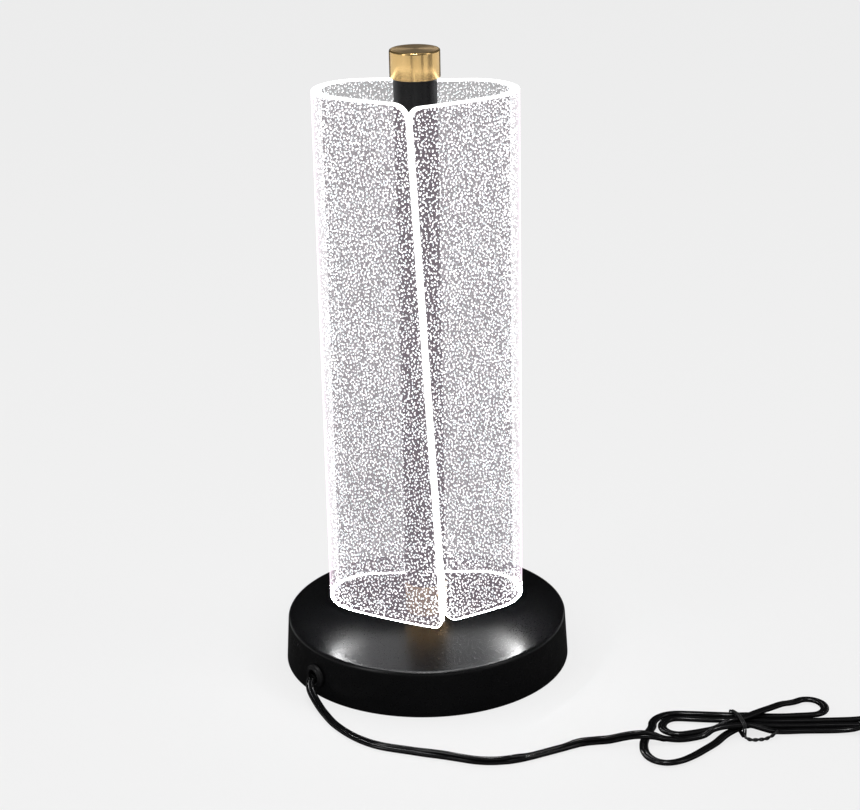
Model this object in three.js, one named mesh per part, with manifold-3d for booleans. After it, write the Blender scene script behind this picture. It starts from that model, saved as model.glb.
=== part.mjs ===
// A table lamp: a round pressed steel base, a slotted post with a brass collar and cap,
// and two bent clear sheets that are lit from the edges that stand in the post.
// Millimetres and degrees, +Z up, origin at the centre of the underside, seam of the sheets towards -Y.
import * as THREE from 'three';
import { mergeVertices } from 'three/addons/utils/BufferGeometryUtils.js';
import Module from 'manifold-3d';

const wasm = await Module();
wasm.setup();

// Driving sizes of the lamp
const lampHeight = 330.9;
const baseTopRadius = 75;
const baseFlare = 1.5;
const baseHeight = 25.4;
const baseWall = 1.2;
const baseEdgeRadius = 2;
const collarHeight = 17.3;
const postRadius = 11.3;
const postWall = 1.5;
const capRadius = 12.7;
const capHeight = 14.1;
const sheetThickness = 5;
const shadeHalfWidth = 50.8;
const sideBendRadius = 22.3;
const sideBendAngle = 147;
const frontBendRadius = 280;
const seamTopX = -3.6;
const seamBottomX = 8.6;
const stemRadius = 5;
const stemWall = 1.2;
const cordWidth = 4.5;
const cordThickness = 2.4;

const baseFootRadius = baseTopRadius + baseFlare;

// Clearances that every piece shares
const gap = 0.3;
const thinGap = 0.1;
const overrun = 1;
const mergeDistance = 1e-4;
const manySides = 64;
const someSides = 32;
const fewSides = 16;

const lamp = new THREE.Group();

// Meshes and solids

// One closed skin with shared corners and no empty faces.
function closedSkin(geometry) {
  const loose = geometry.index ? geometry.toNonIndexed() : geometry;
  const bare = new THREE.BufferGeometry().setAttribute('position', loose.getAttribute('position'));
  const merged = mergeVertices(bare, mergeDistance);
  const corners = merged.index.array;
  const kept = [];
  for (let i = 0; i < corners.length; i += 3) {
    const [a, b, c] = [corners[i], corners[i + 1], corners[i + 2]];
    if (a !== b && b !== c && c !== a) kept.push(a, b, c);
  }
  merged.setIndex(kept);
  return merged;
}

function solidOf(geometry) {
  const skin = closedSkin(geometry);
  const make = (corners) => new wasm.Manifold(new wasm.Mesh({
    numProp: 3,
    vertProperties: skin.attributes.position.array,
    triVerts: corners,
  }));
  const corners = Uint32Array.from(skin.index.array);
  const solid = make(corners);
  return solid.volume() < 0 ? make(corners.reverse()) : solid;
}

function geometryOf(solid) {
  const mesh = solid.getMesh();
  const geometry = new THREE.BufferGeometry();
  geometry.setAttribute('position', new THREE.BufferAttribute(mesh.vertProperties, mesh.numProp));
  geometry.setIndex(new THREE.BufferAttribute(mesh.triVerts, 1));
  return geometry;
}

function cut(geometry, ...tools) {
  let solid = solidOf(geometry);
  for (const tool of tools) solid = solid.subtract(solidOf(tool));
  return geometryOf(solid);
}

function join(geometry, ...others) {
  let solid = solidOf(geometry);
  for (const other of others) solid = solid.add(solidOf(other));
  return geometryOf(solid);
}

function common(first, second) {
  return geometryOf(solidOf(first).intersect(solidOf(second)));
}

// Names a piece and hangs it in the lamp or in a group of the lamp.
function addPiece(name, geometry, material, parent = lamp) {
  const mesh = new THREE.Mesh(geometryOf(solidOf(geometry)), material);
  mesh.name = name;
  parent.add(mesh);
  return mesh;
}

function finish(color, roughness, metalness) {
  return new THREE.MeshStandardMaterial({ color, roughness, metalness, flatShading: true });
}

const blackCoat = finish(0x141416, 0.38, 0.3);
const blackRubber = finish(0x101012, 0.6, 0);
const blackPlastic = finish(0x18181b, 0.45, 0);
const foam = finish(0x1c1c1e, 0.95, 0);
const zincSteel = finish(0xa9abae, 0.4, 0.9);
const castIron = finish(0x3a3a3c, 0.75, 0.6);
const goldBrass = finish(0xe2b46e, 0.22, 1);
const plainBrass = finish(0xc9a35a, 0.35, 1);
const aluminium = finish(0xc6c8cc, 0.4, 0.9);
const whitePlastic = finish(0xe9e9e6, 0.5, 0);
const greenBoard = finish(0x1f6b3c, 0.6, 0);
const whiteBoard = finish(0xf4f4ee, 0.6, 0);
const whiteWire = finish(0xe4e2dc, 0.5, 0);
const clearSheet = new THREE.MeshStandardMaterial({
  color: 0xeef0f8,
  roughness: 0.08,
  metalness: 0,
  transparent: true,
  opacity: 0.4,
  emissive: 0x6f7078,
  flatShading: true,
});

// Turns a profile of [radius, height] corners about +Z.
function turned(profile, sides) {
  const points = profile.map(([radius, height]) => new THREE.Vector2(radius, height));
  return new THREE.LatheGeometry(points, sides).rotateX(Math.PI / 2);
}

function ring(inner, outer, bottom, top, sides) {
  return turned([[inner, bottom], [outer, bottom], [outer, top], [inner, top], [inner, bottom]], sides);
}

function rod(radius, bottom, top, sides) {
  return turned([[0, bottom], [radius, bottom], [radius, top], [0, top]], sides);
}

// A block between two corners.
function block(x0, x1, y0, y1, z0, z1) {
  const size = new THREE.BoxGeometry(x1 - x0, y1 - y0, z1 - z0);
  return size.translate((x0 + x1) / 2, (y0 + y1) / 2, (z0 + z1) / 2);
}

// Corners of a round profile edge, from one angle to another about its centre.
function edgeArc(radius, height, bend, from, to, steps) {
  const corners = [];
  for (let i = 0; i <= steps; i += 1) {
    const angle = THREE.MathUtils.degToRad(from + (to - from) * i / steps);
    corners.push([radius + bend * Math.cos(angle), height + bend * Math.sin(angle)]);
  }
  return corners;
}

const at = (x, y, z) => new THREE.Vector3(x, y, z);

// Base: foam pad, closing plate and its screws
const padThickness = 1.5;
const padInset = 3.4;
const padHoleRoom = 0.9;
const plateThickness = 1.2;
const plateInset = 0.6;
const shellFootLift = 0.6;
const plateBottom = padThickness + gap;
const plateTop = plateBottom + plateThickness;
const innerFloor = plateTop + gap;
const weightThickness = 6;
const weightSideClear = 3.6;
const weightTop = baseHeight - baseWall - gap;
const weightBottom = weightTop - weightThickness;
const weightRadius = baseTopRadius - baseEdgeRadius - baseWall - weightSideClear;
const screwCircleShare = 0.8;
const screwCircle = baseTopRadius * screwCircleShare;
const screwRadius = 1.7;
const screwHeadRadius = 3.5;
const bossRadius = 5;
const screwReach = 9;
const screwAngles = [30, 150, 270];
const screwPlaces = screwAngles.map((angle) => {
  const turn = THREE.MathUtils.degToRad(angle);
  return [screwCircle * Math.cos(turn), screwCircle * Math.sin(turn)];
});
const shadow = (geometry, [x, y]) => geometry.translate(x, y, 0);

function floorPad() {
  const disc = rod(baseFootRadius - padInset, 0, padThickness, manySides);
  const holes = screwPlaces.map((place) => shadow(
    rod(screwHeadRadius + padHoleRoom, -overrun, padThickness + overrun, fewSides), place));
  return cut(disc, ...holes);
}

function screwShape() {
  const headBottom = gap;
  const headTop = plateBottom - gap;
  const shaftTop = plateTop + screwReach;
  const body = turned([
    [0, headBottom],
    [screwHeadRadius - gap, headBottom],
    [screwHeadRadius, (headBottom + headTop) / 2],
    [screwHeadRadius, headTop],
    [screwRadius, headTop],
    [screwRadius, shaftTop - screwRadius / 2],
    [screwRadius / 2, shaftTop],
    [0, shaftTop],
  ], fewSides);
  const slotHalf = screwRadius;
  const slotWidth = screwRadius / 3;
  const depth = (headTop - headBottom) / 2;
  return cut(
    body,
    block(-slotHalf, slotHalf, -slotWidth, slotWidth, headBottom - overrun, headBottom + depth),
    block(-slotWidth, slotWidth, -slotHalf, slotHalf, headBottom - overrun, headBottom + depth),
  );
}

addPiece('floor_pad', floorPad(), foam);
screwPlaces.forEach((place, index) => {
  addPiece(`base_screw_${index + 1}`, shadow(screwShape(), place), zincSteel);
});

// Cord clamp on the plate, just inside the cable bushing
const outletAngle = 219.5;
const outletTurn = THREE.MathUtils.degToRad(outletAngle);
const outletWay = [Math.cos(outletTurn), Math.sin(outletTurn)];
const clampFromTopEdge = 20;
const clampFromCentre = baseTopRadius - clampFromTopEdge;
const clampLength = 18;
const clampDepth = 6;
const clampHeight = 5.4;
const clampScrewHalfSpan = 6.4;
const clampScrewRadius = 1.2;
const clampHeadRadius = 2.3;
const clampHeadHeight = 1.4;
const clampTop = innerFloor + clampHeight;
const innerLeadLift = 2 * gap;

function clampedShape(geometry) {
  return geometry.rotateZ(outletTurn).translate(
    clampFromCentre * outletWay[0], clampFromCentre * outletWay[1], 0);
}

function clampHoles(radius, bottom, top) {
  return [-clampScrewHalfSpan, clampScrewHalfSpan].map(
    (across) => rod(radius, bottom, top, fewSides).translate(0, across, 0));
}

function cordClamp() {
  const half = clampLength / 2;
  const bar = block(-clampDepth / 2, clampDepth / 2, -half, half, innerFloor, clampTop);
  const saddle = block(
    -clampDepth, clampDepth,
    -cordWidth / 2 - gap, cordWidth / 2 + gap,
    innerFloor - overrun, innerFloor + innerLeadLift + cordThickness + gap,
  );
  const holes = clampHoles(clampScrewRadius + gap, innerFloor - overrun, clampTop + overrun);
  return clampedShape(cut(bar, saddle, ...holes));
}

function clampScrew(across) {
  const headBottom = clampTop + gap;
  const body = turned([
    [0, plateBottom],
    [clampScrewRadius, plateBottom],
    [clampScrewRadius, headBottom],
    [clampHeadRadius, headBottom],
    [clampHeadRadius, headBottom + clampHeadHeight / 2],
    [clampHeadRadius / 2, headBottom + clampHeadHeight],
    [0, headBottom + clampHeadHeight],
  ], fewSides);
  return clampedShape(body.translate(0, across, 0));
}

function basePlate() {
  const disc = rod(baseFootRadius - baseWall - plateInset, plateBottom, plateTop, manySides);
  const [low, high] = [plateBottom - overrun, plateTop + overrun];
  const holes = screwPlaces.map((place) => shadow(rod(screwRadius + gap, low, high, fewSides), place));
  const clampHole = clampHoles(clampScrewRadius + gap, low, high).map(clampedShape);
  return cut(disc, ...holes, ...clampHole);
}

addPiece('base_plate', basePlate(), zincSteel);
addPiece('cord_clamp', cordClamp(), whitePlastic);
addPiece('clamp_screw_1', clampScrew(-clampScrewHalfSpan), zincSteel);
addPiece('clamp_screw_2', clampScrew(clampScrewHalfSpan), zincSteel);

// Base: cast weight and pressed shell
const stemClear = stemRadius + gap;

function baseWeight() {
  const disc = ring(stemClear, weightRadius, weightBottom, weightTop, manySides);
  const bosses = screwPlaces.map(
    (place) => shadow(rod(bossRadius, innerFloor, weightBottom + overrun, fewSides), place));
  const holes = screwPlaces.map((place) => shadow(
    rod(screwRadius + gap, innerFloor - overrun, plateTop + screwReach + gap, fewSides), place));
  return cut(join(disc, ...bosses), ...holes);
}

const grommetHeight = 11.2;
const grommetFlangeRadius = 6.4;
const grommetNeckRadius = 4.9;
const grommetBoreRadius = 3.65;
const grommetProud = 2.6;
const grommetInside = 1.6;
const wallLean = baseFlare / (baseHeight - baseEdgeRadius);
const wallRadiusAt = (height) => baseFootRadius - wallLean * height;
const wallTilt = Math.atan(wallLean);

// Places a piece that was made along +Z, with the outside of the wall at zero, into the side wall.
function intoWall(geometry) {
  return geometry.rotateY(Math.PI / 2 - wallTilt).translate(wallRadiusAt(grommetHeight), 0, grommetHeight)
    .rotateZ(outletTurn);
}

function baseShell() {
  const edge = baseTopRadius - baseEdgeRadius;
  const edgeHeight = baseHeight - baseEdgeRadius;
  const outer = edgeArc(edge, edgeHeight, baseEdgeRadius, 0, 90, 5);
  const inner = edgeArc(edge, edgeHeight, baseEdgeRadius - baseWall, 90, 0, 3);
  const footOut = baseFootRadius - wallLean * shellFootLift;
  const profile = [
    [footOut, shellFootLift],
    ...outer,
    [stemClear, baseHeight],
    [stemClear, baseHeight - baseWall],
    ...inner,
    [footOut - baseWall, shellFootLift],
    [footOut, shellFootLift],
  ];
  const hole = intoWall(rod(grommetNeckRadius + gap, -grommetInside * 3, overrun * 2, someSides));
  return cut(turned(profile, manySides), hole);
}

function grommet() {
  const neckBack = -baseWall - gap;
  const round = grommetProud / 2;
  const flange = edgeArc(grommetFlangeRadius - round, grommetProud - round + gap, round, -60, 90, 5);
  const lip = edgeArc(grommetBoreRadius + round, grommetProud - round + gap, round, 90, 180, 4);
  return intoWall(turned([
    [grommetBoreRadius, neckBack - grommetInside],
    [grommetFlangeRadius - round, neckBack - grommetInside],
    [grommetFlangeRadius - round / 2, neckBack],
    [grommetNeckRadius, neckBack],
    [grommetNeckRadius, gap],
    ...flange,
    ...lip,
    [grommetBoreRadius, neckBack - grommetInside],
  ], someSides));
}

addPiece('base_weight', baseWeight(), castIron);
addPiece('base_shell', baseShell(), blackCoat);
addPiece('grommet', grommet(), blackRubber);

// Driver of the light strips, lying on the plate under the weight
const driverLength = 52;
const driverDepth = 27;
const driverFromCentre = 24;
const driverWall = 1.5;
const driverLidThickness = 1.2;
const driverBoardThickness = 1.6;
const driverLidTop = innerFloor + driverLidThickness;
const driverCaseBottom = driverLidTop + gap;
const driverCaseTop = weightBottom - 2 * gap;
const driverBack = driverFromCentre + driverDepth;
const driverEnd = driverLength / 2;
const wireRadius = 0.9;
const wireOutHalfSpan = 2.2;
const wireOutHeight = driverCaseBottom + driverWall + wireRadius;

function driverCase() {
  const shell = block(-driverEnd, driverEnd, driverFromCentre, driverBack, driverCaseBottom, driverCaseTop);
  const hollow = block(
    -driverEnd + driverWall, driverEnd - driverWall,
    driverFromCentre + driverWall, driverBack - driverWall,
    driverCaseBottom - overrun, driverCaseTop - driverWall,
  );
  return cut(shell, hollow);
}

function driverLid() {
  return block(-driverEnd, driverEnd, driverFromCentre, driverBack, innerFloor, driverLidTop);
}

// The parts on the board stand at shares of the case's inner length, depth and height.
const transformerShares = [0.36, 0.66, 0.14, 0.86];
const chipShares = [0.74, 0.84, 0.3, 0.7];
const bigCanShares = [0.2, 0.5, 0.38, 0.92];
const smallCanShares = [0.92, 0.3, 0.22, 0.7];
const chipHeightShare = 0.25;

function driverBoard() {
  const inset = driverWall + gap;
  const [left, right] = [-driverEnd + inset, driverEnd - inset];
  const [front, back] = [driverFromCentre + inset, driverBack - inset];
  const boardTop = driverCaseBottom + driverBoardThickness;
  const room = driverCaseTop - driverWall - gap - boardTop;
  const along = (share) => left + (right - left) * share;
  const across = (share) => front + (back - front) * share;
  const board = block(left, right, front, back, driverCaseBottom, boardTop);
  const sunk = boardTop - thinGap;
  const onBoard = ([x0, x1, y0, y1], height) => block(
    along(x0), along(x1), across(y0), across(y1), sunk, boardTop + height);
  const can = ([x, y, radius, height]) => rod(room * radius, sunk, boardTop + room * height, fewSides)
    .translate(along(x), across(y), 0);
  return join(
    board,
    onBoard(transformerShares, room),
    onBoard(chipShares, room * chipHeightShare),
    can(bigCanShares),
    can(smallCanShares),
  );
}

addPiece('driver_lid', driverLid(), whitePlastic);
addPiece('driver_case', driverCase(), whitePlastic);
addPiece('driver_board', driverBoard(), greenBoard);

// Stem: a threaded pipe that clamps the whole column between its nut and the cap
const washerRadius = 9;
const washerThickness = 1.6;
const washerTop = weightBottom - gap;
const washerBottom = washerTop - washerThickness;
const nutTop = washerBottom - gap;
const nutThickness = 5;
const nutHalfAcross = 8.5;
const nutBottom = nutTop - nutThickness;
const stemBelowNut = 2.5;
const stemBottom = nutBottom - stemBelowNut;
const capBottom = lampHeight - capHeight;
const stemIntoCap = 9.2;
const stemTop = capBottom + stemIntoCap;
const stemBore = stemRadius - stemWall;
const collarBottom = baseHeight + gap;
const collarTop = collarBottom + collarHeight;
const postBottom = collarTop + gap;
const postTop = capBottom - gap;
const bushHeight = 12;
const wireExitLift = 5;
const wireExitHeight = postBottom + bushHeight + wireExitLift;
const wireExitRadius = 1.5;

function stemNut() {
  const corners = nutHalfAcross / Math.cos(Math.PI / 6);
  const bore = rod(stemClear, nutBottom - overrun, nutTop + overrun, someSides);
  return cut(rod(corners, nutBottom, nutTop, 6), bore);
}

function stemPipe() {
  const pipe = ring(stemBore, stemRadius, stemBottom, stemTop, someSides);
  const exits = rod(wireExitRadius, -stemRadius - overrun, stemRadius + overrun, fewSides)
    .rotateY(Math.PI / 2).translate(0, 0, wireExitHeight);
  return cut(pipe, exits);
}

addPiece('stem_nut', stemNut(), zincSteel);
addPiece('stem_washer', ring(stemClear, washerRadius, washerBottom, washerTop, someSides), zincSteel);
addPiece('stem_pipe', stemPipe(), zincSteel);

// Column: collar, slotted post, centring bushes and cap
const postBore = postRadius - postWall;
const slotSill = 2.4;
const slotBottom = postBottom + slotSill;
const shadeBottom = slotBottom + gap;
const shadeTop = postTop - gap;
const sheetFootInset = 0.8;
const sheetFoot = postBore - sheetFootInset;
const slotHalf = sheetThickness / 2 + gap;
const softEdge = 0.5;
const capEdgeRadius = 1;

function lowerCollar() {
  const [low, high] = [collarBottom, collarTop];
  return turned([
    [stemClear, low],
    [postRadius - softEdge, low],
    [postRadius, low + softEdge],
    [postRadius, high - softEdge],
    [postRadius - softEdge, high],
    [stemClear, high],
    [stemClear, low],
  ], manySides);
}

function postTube() {
  const tube = ring(postBore, postRadius, postBottom, postTop, manySides);
  const inner = sheetFoot - overrun;
  const outer = postRadius + overrun;
  return cut(
    tube,
    block(inner, outer, -slotHalf, slotHalf, slotBottom, postTop + overrun),
    block(-outer, -inner, -slotHalf, slotHalf, slotBottom, postTop + overrun),
  );
}

// A nylon ring that centres the post on the pipe, flat where the sheets come past.
function bush(bottom, top) {
  const body = ring(stemClear, postBore - gap, bottom, top, someSides);
  const flat = sheetFoot - gap;
  const far = postRadius;
  return cut(
    body,
    block(flat, far, -far, far, bottom - overrun, top + overrun),
    block(-far, -flat, -far, far, bottom - overrun, top + overrun),
  );
}

function topCap() {
  const edge = edgeArc(capRadius - capEdgeRadius, lampHeight - capEdgeRadius, capEdgeRadius, 0, 90, 4);
  return turned([
    [stemClear, capBottom],
    [capRadius - softEdge / 2, capBottom],
    [capRadius, capBottom + softEdge / 2],
    ...edge,
    [0, lampHeight],
    [0, stemTop + gap],
    [stemClear, stemTop + gap],
    [stemClear, capBottom],
  ], manySides);
}

addPiece('lower_collar', lowerCollar(), goldBrass);
addPiece('post_tube', postTube(), blackCoat);
addPiece('lower_bush', bush(postBottom, postBottom + bushHeight), whitePlastic);
addPiece('upper_bush', bush(postTop - gap - bushHeight, postTop - gap), whitePlastic);
addPiece('top_cap', topCap(), goldBrass);

// Light strips: an aluminium bar beside the pipe carries a board of chips that face the sheet's edge
const barThickness = 1.3;
const barHalfWidth = 4;
const barInner = stemRadius + gap;
const barOuter = barInner + barThickness;
const boardThickness = 0.8;
const boardHalfWidth = 3.5;
const boardInner = barOuter + thinGap;
const boardOuter = boardInner + boardThickness;
const chipThickness = 0.7;
const chipHalfWidth = 1.4;
const chipHalfHeight = 1.75;
const chipPitch = 9;
const barExitClear = 1;
const boardExitReach = 0.5;
const barBottom = wireExitHeight + wireExitRadius + barExitClear;
const barTop = postTop - gap - bushHeight - gap;
const boardBottom = wireExitHeight - wireExitRadius - boardExitReach;

function lightStrip() {
  const board = block(boardInner, boardOuter, -boardHalfWidth, boardHalfWidth, boardBottom, barTop);
  const chips = [];
  const count = Math.floor((barTop - barBottom - 2 * chipHalfHeight) / chipPitch);
  const first = (barBottom + barTop - (count - 1) * chipPitch) / 2;
  for (let i = 0; i < count; i += 1) {
    const height = first + i * chipPitch;
    chips.push(block(
      boardOuter - thinGap, boardOuter + chipThickness,
      -chipHalfWidth, chipHalfWidth,
      height - chipHalfHeight, height + chipHalfHeight,
    ));
  }
  return join(board, ...chips);
}

const mirrored = (geometry) => geometry.clone().rotateZ(Math.PI);

function lightBar() {
  return block(barInner, barOuter, -barHalfWidth, barHalfWidth, barBottom, barTop);
}

addPiece('led_bar_right', lightBar(), aluminium);
addPiece('led_bar_left', mirrored(lightBar()), aluminium);
addPiece('led_strip_right', lightStrip(), whiteBoard);
addPiece('led_strip_left', mirrored(lightStrip()), whiteBoard);

// Cords and wires

// The section of a flat cord of eight sides, turned so that it lies on its wide side halfway along.
const acrossShares = [1, 1, 0.55, -0.55, -1, -1, -0.55, 0.55];
const upShares = [-0.4, 0.4, 1, 1, 0.4, -0.4, -1, -1];
const cordStep = 5;

function flatSection(curve, steps) {
  const frames = curve.computeFrenetFrames(steps, false);
  const middle = Math.round(steps / 2);
  const side = at(0, 0, 1).cross(frames.tangents[middle]).normalize();
  const turn = Math.atan2(side.dot(frames.binormals[middle]), side.dot(frames.normals[middle]));
  const centre = new THREE.Vector2();
  const corners = acrossShares.map((share, i) => new THREE.Vector2(
    share * cordWidth / 2, upShares[i] * cordThickness / 2).rotateAround(centre, turn));
  return new THREE.Shape(corners);
}

const smoothCurve = (points) => new THREE.CatmullRomCurve3(points, false, 'centripetal');

function flatTube(points) {
  const curve = smoothCurve(points);
  const steps = Math.round(curve.getLength() / cordStep);
  const section = flatSection(curve, steps);
  return new THREE.ExtrudeGeometry(section, { steps, extrudePath: curve, bevelEnabled: false });
}

function roundTube(points, radius) {
  const curve = smoothCurve(points);
  const steps = Math.round(curve.getLength() / cordStep);
  const section = new THREE.Shape();
  section.absarc(0, 0, radius, 0, 2 * Math.PI);
  return new THREE.ExtrudeGeometry(section, {
    steps,
    curveSegments: 4,
    extrudePath: curve,
    bevelEnabled: false,
  });
}

// Wires from the driver up the pipe, out of its side hole to the foot of each strip.
const wireLow = plateTop + 2 * wireRadius;

function stripWire(side) {
  const inPipe = side * (stemBore - wireRadius) / 2;
  const bend = 2 * wireExitRadius;
  return roundTube([
    at(side * wireOutHalfSpan, driverFromCentre - gap, wireOutHeight),
    at(side * wireOutHalfSpan, driverFromCentre - bend, wireOutHeight - gap),
    at(inPipe, stemRadius + bend, wireLow),
    at(inPipe, stemRadius - bend, wireLow + wireRadius),
    at(inPipe, 0, stemBottom + wireRadius),
    at(inPipe, 0, nutTop),
    at(inPipe, 0, collarTop),
    at(inPipe, 0, wireExitHeight - 2 * bend),
    at(inPipe + side * gap, 0, wireExitHeight - bend / 2),
    at(side * (stemBore - wireRadius / 2), 0, wireExitHeight),
    at(side * stemRadius, 0, wireExitHeight),
    at(side * (boardInner - gap), 0, wireExitHeight),
  ], wireRadius);
}

addPiece('led_wire_left', stripWire(-1), whiteWire);
addPiece('led_wire_right', stripWire(1), whiteWire);

// Supply cord. Its route was chosen by hand and lies on the floor outside the base.
const floorClear = 0.1;
const floorLie = cordThickness / 2 + floorClear;
const leadRoute = [
  at(-60.9, -50.3, 10.7), at(-61.8, -51.9, 9), at(-61.7, -53.8, 7.2), at(-60.9, -56.3, 5.7),
  at(-59.5, -59.4, 4.3), at(-57.8, -63, 3.1), at(-55.9, -67, 2.1), at(-53.5, -72, 1.5),
  at(-48.9, -81.5, floorLie), at(-43.2, -90, floorLie), at(-36.7, -97.6, floorLie), at(-30.3, -103.2, floorLie),
  at(-24, -107, floorLie), at(-16.8, -109.8, floorLie), at(-8.8, -112.5, floorLie), at(-0.8, -115.4, floorLie),
  at(7.1, -118.2, floorLie), at(14.1, -121, floorLie), at(22.8, -124, floorLie), at(31, -125, floorLie),
  at(38.5, -124.2, floorLie), at(46, -121.5, floorLie), at(55, -117.4, floorLie), at(64.8, -112.8, floorLie),
  at(74, -108.9, floorLie), at(84, -107.2, floorLie),
];

// The supply cord inside the base runs beside the driver, through the clamp and up into the bushing.
// Its places are shares of the way to the side and to the clamp, then of the way to the outlet.
const innerLie = innerFloor + innerLeadLift + cordThickness / 2;
const leadOutHeight = 8;
const leadAside = 2 * cordWidth;
const leadRunShares = [
  [0, 0, 0], [0.35, 0, 0.1], [0.8, 0.05, 0.55], [0.97, 0.17, 0.9],
  [1, 0.4, 1], [1, 0.66, 1], [1.01, 0.78, 1], [1.09, 0.9, 1],
];
const leadClimbShares = [
  [-0.45, 0], [-0.2, 0], [0.05, 0], [0.25, 0.13], [0.46, 0.52],
  [0.63, 0.9], [0.79, 1.1], [0.91, 1.11], [1, 1.02],
];

function innerRoute() {
  const startX = -driverEnd - 2 * gap;
  const startY = driverFromCentre + driverDepth / 2;
  const clampY = (clampFromCentre - clampDepth) * outletWay[1];
  const run = leadRunShares.map(([across, along, down]) => at(
    startX - (leadAside - 2 * gap) * across,
    startY + (clampY - startY) * along,
    leadOutHeight + (innerLie - leadOutHeight) * down,
  ));
  const clampEnd = clampFromCentre + clampDepth / 2;
  const outletEnd = wallRadiusAt(grommetHeight) + grommetProud - 2 * gap;
  const climb = leadClimbShares.map(([along, up]) => {
    const distance = clampEnd + (outletEnd - clampEnd) * along;
    const height = innerLie + (grommetHeight - innerLie) * up;
    return at(distance * outletWay[0], distance * outletWay[1], height);
  });
  return [...run, ...climb];
}

addPiece('mains_lead_inner', flatTube(innerRoute()), blackPlastic);
addPiece('cord_lead', flatTube(leadRoute), blackPlastic);

// Tied hank. The cord comes in along the front, folds at the far right and runs back behind. It turns
// at the left, crosses over the others into an upper loop, and comes back as the rearmost strand.
// Then it turns round the left end into a loose loop in front, and leaves under the first strand.
const hankLayer = 3.3;
const lowLie = floorLie;
const highLie = floorLie + hankLayer;
const switchCordHeight = 6.15;
const foldStep = 22.5;

// Places round a fold, from one compass turn to another, as seen from above.
function foldPlaces(x, y, radius, firstTurn, lastTurn, height) {
  const steps = Math.round(Math.abs(lastTurn - firstTurn) / foldStep);
  const places = [];
  for (let i = 0; i <= steps; i += 1) {
    const turn = THREE.MathUtils.degToRad(firstTurn + (lastTurn - firstTurn) * i / steps);
    places.push(at(x + radius * Math.sin(turn), y + radius * Math.cos(turn), height));
  }
  return places;
}

const hankEntry = [
  at(84.5, -107.15, lowLie), at(90, -107.1, 1.7), at(96, -107.7, 3.3), at(102, -108.3, 4.6),
  at(107.5, -108.5, 4.8), at(113, -108.1, 4.2), at(118.5, -107.5, 2.4), at(125, -106.8, lowLie),
  at(131.5, -105.7, lowLie), at(138, -104.4, 2.1), at(141.5, -103.7, 4.1), at(145, -103.1, highLie),
  at(150, -102.4, highLie), at(156, -101.8, highLie), at(161, -101.4, 4.4), at(167, -101, 2.6),
  at(173, -100.8, lowLie), at(190, -100.8, lowLie), at(206, -101, lowLie), at(213, -101.6, 2.2),
  at(220, -102.6, highLie), at(232, -104.3, highLie), at(244, -105.4, highLie),
];
const rightFold = foldPlaces(256, -96.4, 9.3, 180, 0, highLie);
const backRun = [
  at(246, -87.4, highLie), at(235, -88.4, 3.6), at(226, -89.4, 2), at(217, -90.2, lowLie),
  at(205, -90.6, lowLie), at(190, -90.5, lowLie), at(175, -90.5, lowLie), at(163, -90.6, lowLie),
  at(156, -90.6, lowLie), at(149, -90, lowLie), at(142, -88.2, lowLie), at(134, -86.1, lowLie),
];
const innerTurn = foldPlaces(126, -93.3, 8.1, 0, -180, lowLie);
const crossing = [
  at(132, -100.3, lowLie), at(138, -98.9, lowLie), at(144, -97.6, lowLie), at(148, -96.9, 2.8),
  at(151.5, -96.4, highLie), at(156, -95.6, highLie), at(161.5, -92.3, highLie), at(167, -87.9, highLie),
  at(174, -82.6, highLie), at(181.2, -76.5, 3.6), at(185.6, -73, 2.2),
];
const upperLoop = foldPlaces(195, -76.3, 8.3, -41, 180, lowLie);
const rearRun = [
  at(188, -85, lowLie), at(180, -85.3, lowLie), at(172, -85.4, lowLie), at(163, -85.5, lowLie),
  at(156, -85.5, lowLie), at(149, -84.6, lowLie), at(141, -82.2, lowLie), at(133, -80.5, lowLie),
];
const outerTurn = foldPlaces(126, -93.3, 13.3, 0, -90, lowLie);
const looseLoop = [
  at(110.3, -98.6, lowLie), at(108.4, -103.9, lowLie), at(107, -109, lowLie), at(106.5, -113.5, lowLie),
  at(106.6, -118, lowLie), at(108, -123, lowLie), at(111.2, -127.3, lowLie), at(116.2, -129.3, lowLie),
  at(122.6, -127.9, lowLie), at(129.6, -123.3, lowLie), at(136.8, -116.6, lowLie), at(142.9, -110.4, lowLie),
  at(148, -105.3, lowLie), at(153, -100.8, lowLie), at(158, -97.3, lowLie), at(163.5, -95.7, lowLie),
];
const hankExit = [
  at(170, -95.5, lowLie), at(190, -95.6, lowLie), at(205, -95.7, lowLie), at(216, -96, lowLie),
  at(228, -97.2, lowLie), at(239, -99.9, lowLie), at(248, -103.8, lowLie), at(255, -107.5, lowLie),
  at(261, -109.8, lowLie), at(265.5, -110.5, 1.6), at(271, -110.6, 3.2), at(276, -110.6, 5.2),
  at(281, -110.6, switchCordHeight), at(288, -110.6, switchCordHeight),
];

// The tie goes under the strands as well, so they rise a little where it holds them.
const tieX = 156;
const tieFrontStrandY = -101.8;
const tieRearStrandY = -85.5;
const tieY = (tieFrontStrandY + tieRearStrandY) / 2;
const hankLift = 1.3;
const hankLiftHalf = 4;
const hankLiftFade = 18;
const hankLiftReach = 14;
const ease = (share) => {
  const kept = Math.min(Math.max(share, 0), 1);
  return kept * kept * (3 - 2 * kept);
};

function lifted(point) {
  const near = Math.abs(point.y - tieY) < hankLiftReach;
  const share = ease(1 - (Math.abs(point.x - tieX) - hankLiftHalf) / hankLiftFade);
  return near ? at(point.x, point.y, point.z + hankLift * share) : point;
}

const hankRoute = [
  ...hankEntry, ...rightFold, ...backRun, ...innerTurn, ...crossing, ...upperLoop,
  ...rearRun, ...outerTurn, ...looseLoop, ...hankExit,
].map(lifted);

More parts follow.
